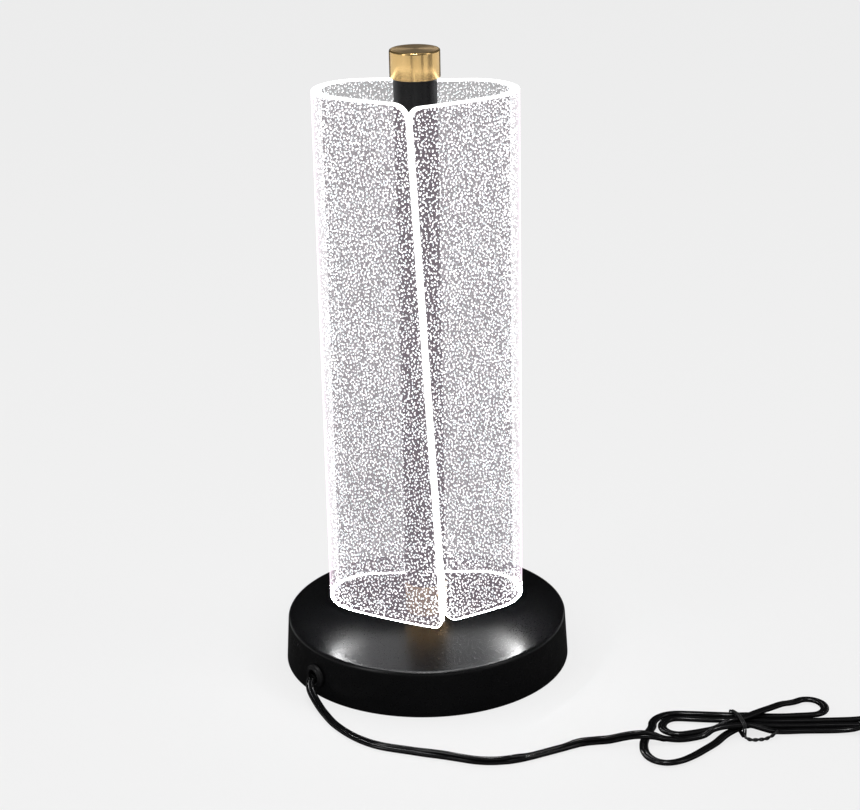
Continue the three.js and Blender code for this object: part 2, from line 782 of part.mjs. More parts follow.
// A tube of six flat sides through the given stations, its wide side kept level.
const levelAcrossShares = [1, 0.5, -0.5, -1, -0.5, 0.5];
const levelUpShares = [0, 1, 1, 0, -1, -1];

function levelTube(stations, width, thickness) {
  const sides = levelAcrossShares.length;
  const positions = [];
  stations.forEach((station, i) => {
    const before = stations[Math.max(i - 1, 0)];
    const after = stations[Math.min(i + 1, stations.length - 1)];
    const way = after.clone().sub(before).normalize();
    const side = at(0, 0, 1).cross(way).normalize();
    const rise = way.clone().cross(side);
    for (let k = 0; k < sides; k += 1) {
      const corner = station.clone()
        .addScaledVector(side, levelAcrossShares[k] * width / 2)
        .addScaledVector(rise, levelUpShares[k] * thickness / 2);
      positions.push(corner.x, corner.y, corner.z);
    }
  });
  const corners = [];
  for (let i = 0; i + 1 < stations.length; i += 1) {
    for (let k = 0; k < sides; k += 1) {
      const next = (k + 1) % sides;
      const [a, b] = [i * sides + k, i * sides + next];
      corners.push(a, b, b + sides, a, b + sides, a + sides);
    }
  }
  const end = (stations.length - 1) * sides;
  for (let k = 1; k + 1 < sides; k += 1) corners.push(0, k + 1, k, end, end + k, end + k + 1);
  const geometry = new THREE.BufferGeometry();
  geometry.setAttribute('position', new THREE.Float32BufferAttribute(positions, 3));
  geometry.setIndex(corners);
  return geometry;
}

// The least room that a level tube leaves between its own strands, measured on points along it.
function leastGap(stations, width, thickness) {
  const step = width / 3;
  const skipped = Math.ceil(4 * width / step);
  const points = [];
  for (let i = 0; i + 1 < stations.length; i += 1) {
    const count = Math.max(Math.round(stations[i].distanceTo(stations[i + 1]) / step), 1);
    for (let k = 0; k < count; k += 1) points.push(stations[i].clone().lerp(stations[i + 1], k / count));
  }
  let least = Infinity;
  for (let i = 0; i < points.length; i += 1) {
    for (let j = i + skipped; j < points.length; j += 1) {
      const level = Math.hypot(points[i].x - points[j].x, points[i].y - points[j].y);
      const room = Math.max(level - width, Math.abs(points[i].z - points[j].z) - thickness);
      least = Math.min(least, room);
    }
  }
  return least;
}

const hankLeastGap = leastGap(hankRoute, cordWidth, cordThickness);
console.log('least gap between the strands of the hank, mm:', hankLeastGap.toFixed(2));
addPiece('cord_hank', levelTube(hankRoute, cordWidth, cordThickness), blackPlastic);

// Tie: a thin band round the strands, its two ends twisted together in front
const tieBand = 0.8;
const tieWidth = 2.6;
const tieRoom = 0.4;
const tieHalf = (tieRearStrandY - tieFrontStrandY + cordWidth) / 2 + tieRoom;
const tieRearTop = lowLie + hankLift + cordThickness / 2 + tieRoom;
const tieInnerTop = tieRearTop + hankLayer;
const tieInnerBottom = hankLift - tieRoom;
const tieStepY = 2;
const tieTailLength = 15;
const tieTailRadius = 1;

function tieOutline(grow) {
  const half = tieHalf + grow;
  return new THREE.Shape([
    [-half, tieInnerBottom - grow],
    [half, tieInnerBottom - grow],
    [half, tieRearTop + grow],
    [tieStepY + grow, tieInnerTop + grow],
    [-half, tieInnerTop + grow],
  ].map(([y, z]) => new THREE.Vector2(y, z)));
}

function cordTie() {
  const band = tieOutline(tieBand);
  band.holes.push(tieOutline(0));
  const loop = new THREE.ExtrudeGeometry(band, { depth: tieWidth, bevelEnabled: false })
    .translate(0, 0, -tieWidth / 2)
    .rotateY(Math.PI / 2)
    .rotateX(Math.PI / 2)
    .translate(tieX, tieY, 0);
  const tailY = tieY - tieHalf - tieBand - tieTailRadius / 2;
  const tail = rod(tieTailRadius, 0, tieTailLength, 6)
    .rotateY(Math.PI / 2).translate(tieX, tailY, tieTailRadius + gap);
  return join(loop, tail);
}

addPiece('cord_tie', cordTie(), blackPlastic);

// Shade: two clear sheets, each bent round one side, from the post to the seam in front

// Places along the middle of the left sheet, each with the direction of its outer face.
const sideCentreX = -(shadeHalfWidth - sheetThickness / 2 - sideBendRadius);
const sideCentreY = -sideBendRadius;
const sideSteps = 22;
const frontSteps = 7;
const frontStartTurn = 180 + sideBendAngle;
const radians = THREE.MathUtils.degToRad;
const frontCentreX = sideCentreX + (sideBendRadius - frontBendRadius) * Math.sin(radians(frontStartTurn));
const frontCentreY = sideCentreY - (sideBendRadius - frontBendRadius) * Math.cos(radians(frontStartTurn));
const frontReach = Math.max(Math.abs(seamTopX), Math.abs(seamBottomX)) + sheetThickness + 4 * overrun;
const turnAtX = (x) => 360 + THREE.MathUtils.radToDeg(Math.asin((x - frontCentreX) / frontBendRadius));

// The outer and inner faces lie half a thickness to either side of the middle line.
function sheetFace(grow) {
  const points = [[-sheetFoot, grow], [sideCentreX, grow]];
  for (let i = 1; i <= sideSteps; i += 1) {
    const turn = radians(180 + sideBendAngle * i / sideSteps);
    const radius = sideBendRadius + grow;
    points.push([sideCentreX + radius * Math.sin(turn), sideCentreY - radius * Math.cos(turn)]);
  }
  const lastTurn = turnAtX(frontReach);
  for (let i = 1; i <= frontSteps; i += 1) {
    const turn = radians(frontStartTurn + (lastTurn - frontStartTurn) * i / frontSteps);
    const radius = frontBendRadius + grow;
    points.push([frontCentreX + radius * Math.sin(turn), frontCentreY - radius * Math.cos(turn)]);
  }
  return points.map(([x, y]) => new THREE.Vector2(x, y));
}

// Rounds the corner of a shape between two sides, as near to a circle as one curve comes.
const roundShare = 0.5523;

function roundCorner(shape, from, corner, to) {
  const reach = (end) => end.clone().lerp(corner, roundShare);
  const [first, second] = [reach(from), reach(to)];
  shape.lineTo(from.x, from.y);
  shape.bezierCurveTo(first.x, first.y, second.x, second.y, to.x, to.y);
}

const seamGap = 0.4;
const seamX = (height) => seamBottomX
  + (seamTopX - seamBottomX) * (height - shadeBottom) / (shadeTop - shadeBottom);

// What is left of a sheet when its seam edge is cut aslant, with round corners, seen square to its front.
// side is -1 for the left sheet and 1 for the right one, which is made as its mirror image.
function seamCutter(side, bottom, top, bottomRound, topRound) {
  const middleX = (seamTopX + seamBottomX) / 2;
  const turn = turnAtX(-side * middleX);
  const lean = radians(360 - turn);
  const origin = new THREE.Vector2(
    frontCentreX + frontBendRadius * Math.sin(radians(turn)),
    frontCentreY - frontBendRadius * Math.cos(radians(turn)),
  );
  const edgeAt = (height) => (-side * seamX(height) - seamGap / 2 - origin.x
    - sheetThickness / 2 * Math.sin(lean)) / Math.cos(lean);
  const far = -3 * shadeHalfWidth;
  const corner = (height) => new THREE.Vector2(edgeAt(height), height);
  const along = (height, inset) => new THREE.Vector2(edgeAt(height) - inset, height);
  const shape = new THREE.Shape();
  shape.moveTo(far, bottom);
  roundCorner(shape, along(bottom, bottomRound), corner(bottom), along(bottom + bottomRound, 0));
  roundCorner(shape, along(top - topRound, 0), corner(top), along(top, topRound));
  shape.lineTo(far, top);
  const depth = 4 * shadeHalfWidth;
  return new THREE.ExtrudeGeometry(shape, { depth, curveSegments: 6, bevelEnabled: false })
    .translate(0, 0, -depth / 2)
    .rotateX(Math.PI / 2)
    .rotateZ(-lean)
    .translate(origin.x, origin.y, 0);
}

function shadeSheet(side, top, bottomRound, topRound) {
  const outline = [...sheetFace(sheetThickness / 2), ...sheetFace(-sheetThickness / 2).reverse()];
  const height = top - shadeBottom;
  const band = new THREE.ExtrudeGeometry(new THREE.Shape(outline), { depth: height, bevelEnabled: false })
    .translate(0, 0, shadeBottom);
  const sheet = common(band, seamCutter(side, shadeBottom, top, bottomRound, topRound));
  return side < 0 ? sheet : sheet.scale(-1, 1, 1);
}

const rightSheetDrop = 1.1;
const leftBottomRound = 4.5;
const leftTopRound = 8;
const rightBottomRound = 7;
const rightTopRound = 6;

addPiece('shade_left', shadeSheet(-1, shadeTop, leftBottomRound, leftTopRound), clearSheet);
const rightTop = shadeTop - rightSheetDrop;
addPiece('shade_right', shadeSheet(1, rightTop, rightBottomRound, rightTopRound), clearSheet);

// Inline switch on the cord, past the hank
const switchX = 310;
const switchY = -110.6;
const switchHalfLength = 28;
const switchHalfWidth = 11;
const switchTop = 14.6;
const switchWall = 1.6;
const switchLidWall = 1.8;
const switchCorner = 5;
const partingHeight = switchCordHeight;
const rockerHalfLength = 7.6;
const rockerHalfWidth = 4.7;
const rockerClear = 0.5;
const rockerPivotHeight = switchTop - 2;
const rockerEndHeight = 2.6;
const rockerDip = 1.2;
const rockerShoulderShare = 0.7;
const rockerDepth = 3;
const rockerThrow = 14;
const pinRadius = 1.1;
const pinClear = 0.08;
const pinHalfLength = 7.6;
const earInner = rockerHalfWidth + rockerClear;
const earHalf = 2.3;
const caseScrewFromMiddle = 20;
const caseScrewAside = 6;
const caseScrewRadius = 1.1;
const caseScrewHead = 2.1;
const caseBossRadius = 2.8;

const inlineSwitch = new THREE.Group();
inlineSwitch.position.set(switchX, switchY, 0);
lamp.add(inlineSwitch);

function roundedPlan(halfLength, halfWidth, corner, bottom, top) {
  const plan = new THREE.Shape();
  plan.absarc(halfLength - corner, halfWidth - corner, corner, 0, Math.PI / 2);
  plan.absarc(-halfLength + corner, halfWidth - corner, corner, Math.PI / 2, Math.PI);
  plan.absarc(-halfLength + corner, -halfWidth + corner, corner, Math.PI, 1.5 * Math.PI);
  plan.absarc(halfLength - corner, -halfWidth + corner, corner, 1.5 * Math.PI, 2 * Math.PI);
  return new THREE.ExtrudeGeometry(plan, { depth: top - bottom, curveSegments: 4, bevelEnabled: false })
    .translate(0, 0, bottom);
}

const outerPlan = (bottom, top) => roundedPlan(
  switchHalfLength, switchHalfWidth, switchCorner, bottom, top);
const innerPlan = (bottom, top) => roundedPlan(
  switchHalfLength - switchWall, switchHalfWidth - switchWall, switchCorner - switchWall, bottom, top);

function cordSlot() {
  return block(
    -switchHalfLength - overrun, switchHalfLength + overrun,
    -cordWidth / 2 - gap, cordWidth / 2 + gap,
    switchCordHeight - cordThickness / 2 - gap, switchCordHeight + cordThickness / 2 + gap,
  );
}

// Makes a shape twice, once at each case screw.
function screwPair(make) {
  return [
    make().translate(-caseScrewFromMiddle, caseScrewAside, 0),
    make().translate(caseScrewFromMiddle, -caseScrewAside, 0),
  ];
}

function switchLowerCase() {
  const top = partingHeight - gap / 2;
  const tray = cut(outerPlan(0, top), innerPlan(switchWall, top + overrun));
  const posts = screwPair(() => rod(caseBossRadius, switchWall - thinGap, top, fewSides));
  const heads = screwPair(() => rod(caseScrewHead + gap, -overrun, switchWall, fewSides));
  const holes = screwPair(() => rod(caseScrewRadius + gap, 0, top + overrun, fewSides));
  return cut(join(tray, ...posts), ...heads, ...holes, cordSlot());
}

function switchUpperCase() {
  const bottom = partingHeight + gap / 2;
  const roof = switchTop - switchLidWall;
  const cover = cut(outerPlan(bottom, switchTop), innerPlan(bottom - overrun, roof));
  const posts = screwPair(() => rod(caseBossRadius, bottom, roof + thinGap, fewSides));
  const holes = screwPair(() => rod(caseScrewRadius + gap, bottom - overrun, roof - gap, fewSides));
  const earBottom = rockerPivotHeight - earHalf;
  const outer = switchHalfWidth - switchWall + thinGap;
  const ears = [
    block(-earHalf, earHalf, earInner, outer, earBottom, roof + thinGap),
    block(-earHalf, earHalf, -outer, -earInner, earBottom, roof + thinGap),
  ];
  const pinHole = rod(pinRadius + gap, -pinHalfLength - gap, pinHalfLength + gap, fewSides)
    .rotateX(Math.PI / 2).translate(0, 0, rockerPivotHeight);
  const opening = block(
    -rockerHalfLength - rockerClear, rockerHalfLength + rockerClear,
    -rockerHalfWidth - rockerClear, rockerHalfWidth + rockerClear,
    earBottom - overrun, switchTop + overrun,
  );
  return cut(join(cover, ...posts, ...ears), ...holes, pinHole, opening, cordSlot());
}

// The rocker dips to its middle; it stands tipped to its off side.
function switchRocker() {
  const ends = rockerEndHeight;
  const outline = new THREE.Shape([
    [-rockerHalfLength, ends],
    [-rockerHalfLength, 0],
    [-rockerHalfLength / 2, -rockerDepth],
    [rockerHalfLength / 2, -rockerDepth],
    [rockerHalfLength, 0],
    [rockerHalfLength, ends],
    [rockerHalfLength / 2, ends - rockerDip * rockerShoulderShare],
    [0, ends - rockerDip],
    [-rockerHalfLength / 2, ends - rockerDip * rockerShoulderShare],
  ].map(([x, z]) => new THREE.Vector2(x, z)));
  const body = new THREE.ExtrudeGeometry(outline, { depth: 2 * rockerHalfWidth, bevelEnabled: false })
    .translate(0, 0, -rockerHalfWidth).rotateX(Math.PI / 2);
  const bore = rod(pinRadius + pinClear, -rockerHalfWidth - overrun, rockerHalfWidth + overrun, fewSides)
    .rotateX(Math.PI / 2);
  return cut(body, bore).rotateY(radians(-rockerThrow / 2)).translate(0, 0, rockerPivotHeight);
}

const terminalHalf = 3.2;
const terminalFromMiddle = 17.6;
const terminalHeight = 4.2;
const terminalScrewRise = 1.2;
const bladeThickness = 0.6;
const bladeRise = 4;
const bladeFootShare = 0.75;
const bladeCrownShare = 0.3;

function switchTerminal(side) {
  const floor = switchWall + gap;
  const body = block(-terminalHalf, terminalHalf, -terminalHalf, terminalHalf, floor, floor + terminalHeight);
  const screw = rod(terminalHalf / 2, floor, floor + terminalHeight + terminalScrewRise, fewSides);
  return join(body, screw).translate(side * (terminalFromMiddle - terminalHalf), 0, 0);
}

function switchBlade() {
  const floor = switchWall + gap;
  const half = terminalFromMiddle - 2 * terminalHalf - gap;
  const foot = half * bladeFootShare;
  const crown = half * bladeCrownShare;
  const outline = new THREE.Shape([
    [-half, floor],
    [-foot, floor],
    [-crown, floor + bladeRise - bladeThickness],
    [crown, floor + bladeRise - bladeThickness],
    [foot, floor],
    [half, floor],
    [half, floor + bladeThickness],
    [foot + bladeThickness, floor + bladeThickness],
    [crown + bladeThickness, floor + bladeRise],
    [-crown - bladeThickness, floor + bladeRise],
    [-foot - bladeThickness, floor + bladeThickness],
    [-half, floor + bladeThickness],
  ].map(([x, z]) => new THREE.Vector2(x, z)));
  return new THREE.ExtrudeGeometry(outline, { depth: terminalHalf, bevelEnabled: false })
    .translate(0, 0, -terminalHalf / 2).rotateX(Math.PI / 2);
}

function caseScrew(index) {
  const headBottom = gap;
  const headTop = switchWall - gap;
  const top = switchTop - switchLidWall - 3 * gap;
  const shape = () => turned([
    [0, headBottom],
    [caseScrewHead, headBottom],
    [caseScrewHead, headTop],
    [caseScrewRadius, headTop],
    [caseScrewRadius, top],
    [0, top],
  ], fewSides);
  return screwPair(shape)[index];
}

addPiece('switch_lower_case', switchLowerCase(), blackPlastic, inlineSwitch);
addPiece('switch_upper_case', switchUpperCase(), blackPlastic, inlineSwitch);
addPiece('switch_rocker', switchRocker(), blackPlastic, inlineSwitch);
addPiece('switch_pin', rod(pinRadius, -pinHalfLength, pinHalfLength, fewSides)
  .rotateX(Math.PI / 2).translate(0, 0, rockerPivotHeight), zincSteel, inlineSwitch);
addPiece('switch_terminal_in', switchTerminal(-1), plainBrass, inlineSwitch);
addPiece('switch_terminal_out', switchTerminal(1), plainBrass, inlineSwitch);
addPiece('switch_blade', switchBlade(), plainBrass, inlineSwitch);
addPiece('switch_screw_1', caseScrew(0), zincSteel, inlineSwitch);
addPiece('switch_screw_2', caseScrew(1), zincSteel, inlineSwitch);

// Last stretch of cord, to the plug
const plugHeight = 6.85;
const tailRoute = [
  at(332, -110.6, switchCordHeight), at(339, -110.6, switchCordHeight), at(344.5, -110.2, 5.2),
  at(350, -109.4, 3.2), at(356, -107.9, 1.6), at(366, -105.6, floorLie), at(384, -104.4, floorLie),
  at(408, -103.9, floorLie), at(430, -103.3, floorLie), at(444, -100.4, floorLie), at(455, -93, floorLie),
  at(460.6, -83, floorLie), at(461, -72.6, floorLie), at(456.6, -63, floorLie), at(448, -55.8, floorLie),
  at(436, -51.4, floorLie), at(420, -49.8, floorLie), at(396, -49.4, floorLie), at(370, -49.2, floorLie),
  at(344, -49, floorLie), at(318, -48.6, floorLie), at(296, -48.6, floorLie), at(284, -49.6, floorLie),
  at(276.6, -54, floorLie), at(273, -61, floorLie), at(274.8, -68, 2), at(279.6, -72, 3.8),
  at(285, -73, 5.8), at(289.4, -73, plugHeight), at(293.7, -73, plugHeight),
];
addPiece('cord_tail', flatTube(tailRoute), blackPlastic);

// Plug: a moulded two-pin body with a tapered boot, its pins pointing away from the hank
const plugX = 294;
const plugY = -73;
const bootLength = 20;
const bootStartRadius = 3.4;
const bootEndRadius = 5.2;
const plugLength = 33;
const plugHalfThickness = plugHeight;
const plugEdge = 2;
const plugFaceHalf = 13;
const plugWideHalf = 17.6;
const plugBackHalf = 6.5;
const prongRadius = 2;
const prongLength = 19;
const prongHalfSpan = 9.5;
const prongRoot = 7;

const plug = new THREE.Group();
plug.position.set(plugX, plugY, plugHeight);
lamp.add(plug);

function plugBody() {
  const wideShare = 0.72;
  const shoulderShare = 0.2;
  const end = plugLength - plugEdge;
  const outline = [
    [plugEdge, plugBackHalf - plugEdge],
    [plugLength * shoulderShare, plugBackHalf],
    [plugLength * wideShare, plugWideHalf - plugEdge],
    [end, plugFaceHalf - plugEdge],
  ];
  const half = outline.map(([x, y]) => new THREE.Vector2(x, y));
  const other = outline.map(([x, y]) => new THREE.Vector2(x, -y)).reverse();
  const grip = new THREE.ExtrudeGeometry(new THREE.Shape([...half, ...other]), {
    depth: 2 * (plugHalfThickness - plugEdge),
    bevelEnabled: true,
    bevelThickness: plugEdge,
    bevelSize: plugEdge,
    bevelSegments: 3,
  }).translate(bootLength, 0, plugEdge - plugHalfThickness);
  const boot = rod(1, 0, 1, fewSides);
  const place = boot.getAttribute('position');
  for (let i = 0; i < place.count; i += 1) {
    const share = place.getZ(i);
    const radius = bootStartRadius + (bootEndRadius - bootStartRadius) * share;
    const reach = share * (bootLength + plugEdge + overrun);
    place.setXYZ(i, place.getX(i) * radius, place.getY(i) * radius, reach);
  }
  const holes = [-prongHalfSpan, prongHalfSpan].map((across) => rod(
    prongRadius + gap, bootLength + plugLength - prongRoot, bootLength + plugLength + overrun, fewSides)
    .rotateY(Math.PI / 2).translate(0, across, 0));
  return cut(join(grip, boot.rotateY(Math.PI / 2)), ...holes);
}

function prong(across) {
  const root = bootLength + plugLength - prongRoot + gap;
  const tip = bootLength + plugLength + prongLength;
  return turned([
    [0, root],
    [prongRadius, root],
    [prongRadius, tip - prongRadius / 2],
    [prongRadius / 2, tip],
    [0, tip],
  ], fewSides).rotateY(Math.PI / 2).translate(0, across, 0);
}

addPiece('plug_body', plugBody(), blackPlastic, plug);
addPiece('plug_pin_1', prong(-prongHalfSpan), plainBrass, plug);
addPiece('plug_pin_2', prong(prongHalfSpan), plainBrass, plug);

export default lamp;
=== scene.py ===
import math
import bmesh
import bpy
from mathutils import Matrix, Vector


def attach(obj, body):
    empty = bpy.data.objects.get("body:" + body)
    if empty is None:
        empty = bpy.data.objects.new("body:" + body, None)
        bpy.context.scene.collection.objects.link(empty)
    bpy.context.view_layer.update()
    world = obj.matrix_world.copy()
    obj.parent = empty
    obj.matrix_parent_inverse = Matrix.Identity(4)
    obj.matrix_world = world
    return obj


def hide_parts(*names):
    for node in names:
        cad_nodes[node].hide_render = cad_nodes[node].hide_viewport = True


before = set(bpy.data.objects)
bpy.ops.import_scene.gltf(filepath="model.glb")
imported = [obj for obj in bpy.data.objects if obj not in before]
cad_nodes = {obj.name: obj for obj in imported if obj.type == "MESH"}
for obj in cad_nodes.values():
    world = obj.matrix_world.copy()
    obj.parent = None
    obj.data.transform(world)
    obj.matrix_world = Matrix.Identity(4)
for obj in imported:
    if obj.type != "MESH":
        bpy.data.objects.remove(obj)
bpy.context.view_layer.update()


# Foam pad: a die-cut disc of black foam, glued under the base so that the lamp stands soft.
# Its open cells show as fine pits.
noise_low = 0.3
noise_high = 0.7
roughness_swing_share = 0.12
grain_depth = 0.0002


def noise_on(nodes, links, place, scale, detail):
    texture = nodes.new("ShaderNodeTexNoise")
    texture.inputs["Scale"].default_value = scale
    texture.inputs["Detail"].default_value = detail
    links.new(place.outputs["Object"], texture.inputs["Vector"])
    return texture


def mapped(nodes, links, value, first, last, low=0.0, high=1.0):
    """The value carried over from the range of low to high to that of first to last."""
    span = nodes.new("ShaderNodeMapRange")
    span.inputs["From Min"].default_value = low
    span.inputs["From Max"].default_value = high
    span.inputs["To Min"].default_value = first
    span.inputs["To Max"].default_value = last
    links.new(value, span.inputs["Value"])
    return span.outputs["Result"]


def shade_between(nodes, links, factor, first, second):
    ramp = nodes.new("ShaderNodeValToRGB")
    ramp.color_ramp.elements[0].position = noise_low
    ramp.color_ramp.elements[0].color = (*first, 1)
    ramp.color_ramp.elements[1].position = noise_high
    ramp.color_ramp.elements[1].color = (*second, 1)
    links.new(factor, ramp.inputs["Fac"])
    return ramp.outputs["Color"]


def surface(name, first, second, roughness, metal=0.0, gloss=0.5, patches=40.0, grain=900.0, relief=0.1):
    """A finish that drifts between two near colours, with a fine grain in its height and roughness."""
    made = bpy.data.materials.new(name)
    made.use_nodes = True
    nodes, links = made.node_tree.nodes, made.node_tree.links
    shader = nodes["Principled BSDF"]
    place = nodes.new("ShaderNodeTexCoord")
    drift = noise_on(nodes, links, place, patches, detail=3.0)
    fine = noise_on(nodes, links, place, grain, detail=2.0)
    links.new(shade_between(nodes, links, drift.outputs["Fac"], first, second), shader.inputs["Base Color"])
    smoothest = roughness * (1 - roughness_swing_share)
    roughest = min(roughness * (1 + roughness_swing_share), 1.0)
    rough = mapped(nodes, links, fine.outputs["Fac"], smoothest, roughest, noise_low, noise_high)
    links.new(rough, shader.inputs["Roughness"])
    bump = nodes.new("ShaderNodeBump")
    bump.inputs["Strength"].default_value = relief
    bump.inputs["Distance"].default_value = grain_depth
    links.new(fine.outputs["Fac"], bump.inputs["Height"])
    links.new(bump.outputs["Normal"], shader.inputs["Normal"])
    shader.inputs["Metallic"].default_value = metal
    shader.inputs["Specular IOR Level"].default_value = gloss
    return made


def finish_nodes(material, *names):
    for name in names:
        cad_nodes[name].data.materials.clear()
        cad_nodes[name].data.materials.append(material)


foam = surface("foam", (0.018, 0.018, 0.019), (0.035, 0.035, 0.036), 0.95, gloss=0.1, grain=1400, relief=0.8)
finish_nodes(foam, "floor_pad")


# Closing plate: a disc of zinc-plated sheet steel that closes the base from below.
# Three pan-head screws hold it, and two more hold the cord's clamp on it.
zinc_steel = surface("zinc_steel", (0.42, 0.43, 0.44), (0.56, 0.57, 0.57), 0.34, metal=1.0, patches=220)
finish_nodes(zinc_steel, "base_plate", "base_screw_1", "base_screw_2", "base_screw_3")
finish_nodes(zinc_steel, "clamp_screw_1", "clamp_screw_2")


# Weight: a cast iron ring with a pocket for the driver, left as cast.
# It lies under the shell and keeps the lamp from tipping.
cast_iron = surface("cast_iron", (0.028, 0.026, 0.025), (0.06, 0.056, 0.052), 0.8, metal=0.3, grain=500,
                    relief=0.9)
finish_nodes(cast_iron, "base_weight")


# Driver: a small supply in a snap-on plastic case, with its board inside. Two insulated wires
# leave it for the light strips. The clamp that holds the cord beside it is of the same plastic.
white_plastic = surface("white_plastic", (0.62, 0.62, 0.6), (0.7, 0.7, 0.68), 0.45, relief=0.15)
circuit_board = surface(
    "circuit_board", (0.01, 0.11, 0.035), (0.02, 0.18, 0.06), 0.38, patches=700, grain=1500)
wire_sleeve = surface("wire_sleeve", (0.66, 0.66, 0.63), (0.74, 0.74, 0.71), 0.4, relief=0.05)
finish_nodes(white_plastic, "driver_case", "driver_lid", "cord_clamp")
finish_nodes(circuit_board, "driver_board")
finish_nodes(wire_sleeve, "led_wire_left", "led_wire_right")


# Base shell: deep-drawn sheet steel, a shallow round pan upside down with a rolled top edge.
# Its black coat is satin: almost black, with soft grey reflections of the lit sheets.
crease_angle = math.radians(38)
merge_distance = 1e-6


def arc(centre_radius, centre_height, radius, first, last, steps):
    """Points on part of a circle, from one turn to another in degrees."""
    points = []
    for i in range(steps + 1):
        turn = math.radians(first + (last - first) * i / steps)
        points.append((centre_radius + radius * math.cos(turn), centre_height + radius * math.sin(turn)))
    return points


def put_in_scene(thing):
    bpy.context.scene.collection.objects.link(thing)


def keep(mesh, name, *materials):
    """A finished piece that rides on the lamp, smooth but with its edges kept crisp."""
    for polygon in mesh.polygons:
        polygon.use_smooth = True
    mesh.set_sharp_from_angle(angle=crease_angle)
    for material in materials:
        mesh.materials.append(material)
    piece = bpy.data.objects.new(name, mesh)
    put_in_scene(piece)
    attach(piece, "lamp")
    return piece


def turned_skin(profile, steps):
    """The closed skin that a profile of (radius, height) pairs leaves when it is spun upright."""
    skin = bmesh.new()
    corners = [skin.verts.new((radius, 0, height)) for radius, height in profile]
    edges = [skin.edges.new(pair) for pair in zip(corners, corners[1:])]
    bmesh.ops.spin(
        skin, geom=corners + edges, cent=(0, 0, 0), axis=(0, 0, 1), angle=2 * math.pi,
        steps=steps, use_merge=True, use_duplicate=False)
    bmesh.ops.remove_doubles(skin, verts=skin.verts, dist=merge_distance)
    bmesh.ops.recalc_face_normals(skin, faces=skin.faces)
    return skin


def mesh_of(skin, name):
    mesh = bpy.data.meshes.new(name)
    skin.to_mesh(mesh)
    skin.free()
    return mesh


base_foot_radius = 0.0765
base_top_radius = 0.075
base_height = 0.0254
base_wall = 0.0012
base_edge = 0.002
base_lift = 0.0006
stem_hole = 0.0052
top_ring_shares = (0.6, 0.9)
outer_edge_steps = 8
inner_edge_steps = 4
base_sides = 144
wall_lean = (base_foot_radius - base_top_radius) / (base_height - base_edge)
foot_out = base_foot_radius - wall_lean * base_lift
edge_centre = (base_top_radius - base_edge, base_height - base_edge)
base_profile = [
    (stem_hole, base_height - base_wall),
    (stem_hole, base_height),
    *((base_top_radius * share, base_height) for share in top_ring_shares),
    *reversed(arc(*edge_centre, base_edge, 0, 90, outer_edge_steps)),
    (foot_out, base_lift),
    (foot_out - base_wall, base_lift),
    *arc(*edge_centre, base_edge - base_wall, 0, 90, inner_edge_steps),
    (stem_hole, base_height - base_wall),
]
black_coat = surface("black_coat", (0.002, 0.002, 0.0024), (0.0035, 0.0035, 0.004), 0.3, gloss=0.36,
                     patches=24, grain=1800, relief=0.03)
base_skin = turned_skin(base_profile, base_sides)
base_shell = keep(mesh_of(base_skin, "base_shell_fine"), "base_shell_fine", black_coat)
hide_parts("base_shell")


# Bushing: a rubber grommet pressed into the wall of the base, with a stepped, rounded flange.
# The supply cord leaves the base through it.
outlet_turn = math.radians(219.5)
outlet_height = 0.0112
outlet_way = Vector((math.cos(outlet_turn), math.sin(outlet_turn), 0))
grommet_bore = 0.00365
grommet_neck = 0.0049
grommet_flange = 0.0064
grommet_proud = 0.0026
grommet_inside = 0.0016
flange_edge = 0.0009
flange_share = 0.45
neck_step = 0.0003
sleeve_step = 0.0004
sleeve_edge = 0.0005
grommet_edge_steps = 4
grommet_sides = 48
flange_height = grommet_proud * flange_share
sleeve_height = grommet_proud - sleeve_step
wall_radius = base_foot_radius - wall_lean * outlet_height
grommet_profile = [
    (grommet_bore, -base_wall - grommet_inside),
    (grommet_flange - flange_edge, -base_wall - grommet_inside),
    (grommet_neck, -base_wall),
    (grommet_neck, neck_step),
    (grommet_flange, neck_step),
    *arc(grommet_flange - flange_edge, flange_height, flange_edge, 0, 90, grommet_edge_steps),
    (grommet_neck + sleeve_step, flange_height + flange_edge),
    *arc(grommet_neck - sleeve_step, sleeve_height, sleeve_edge, 0, 90, grommet_edge_steps),
    *arc(grommet_bore + sleeve_edge, sleeve_height, sleeve_edge, 90, 180, grommet_edge_steps),
    (grommet_bore, -base_wall - grommet_inside),
]
rubber = surface("rubber", (0.006, 0.006, 0.0065), (0.011, 0.011, 0.0115), 0.5, gloss=0.3, relief=0.2)
grommet_skin = turned_skin(grommet_profile, grommet_sides)
into_wall = outlet_way.to_track_quat("Z", "Y").to_matrix().to_4x4()
outlet = Matrix.Translation(outlet_way * wall_radius + Vector((0, 0, outlet_height))) @ into_wall
bmesh.ops.transform(grommet_skin, matrix=outlet, verts=grommet_skin.verts)
grommet = keep(mesh_of(grommet_skin, "grommet_fine"), "grommet_fine", rubber)
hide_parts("grommet")


# Supply cord: flat twin flex with a black sleeve, two cores side by side and a groove between.
# It comes out of the bushing, falls to the floor, runs to the right and is tied into a hank.
cord_width = 0.0045
cord_core = 0.0012
cord_step = 0.002
core_steps = 9


def mm(*numbers):
    return Vector(numbers) * 0.001


def in_mm(length):
    return length * 1000


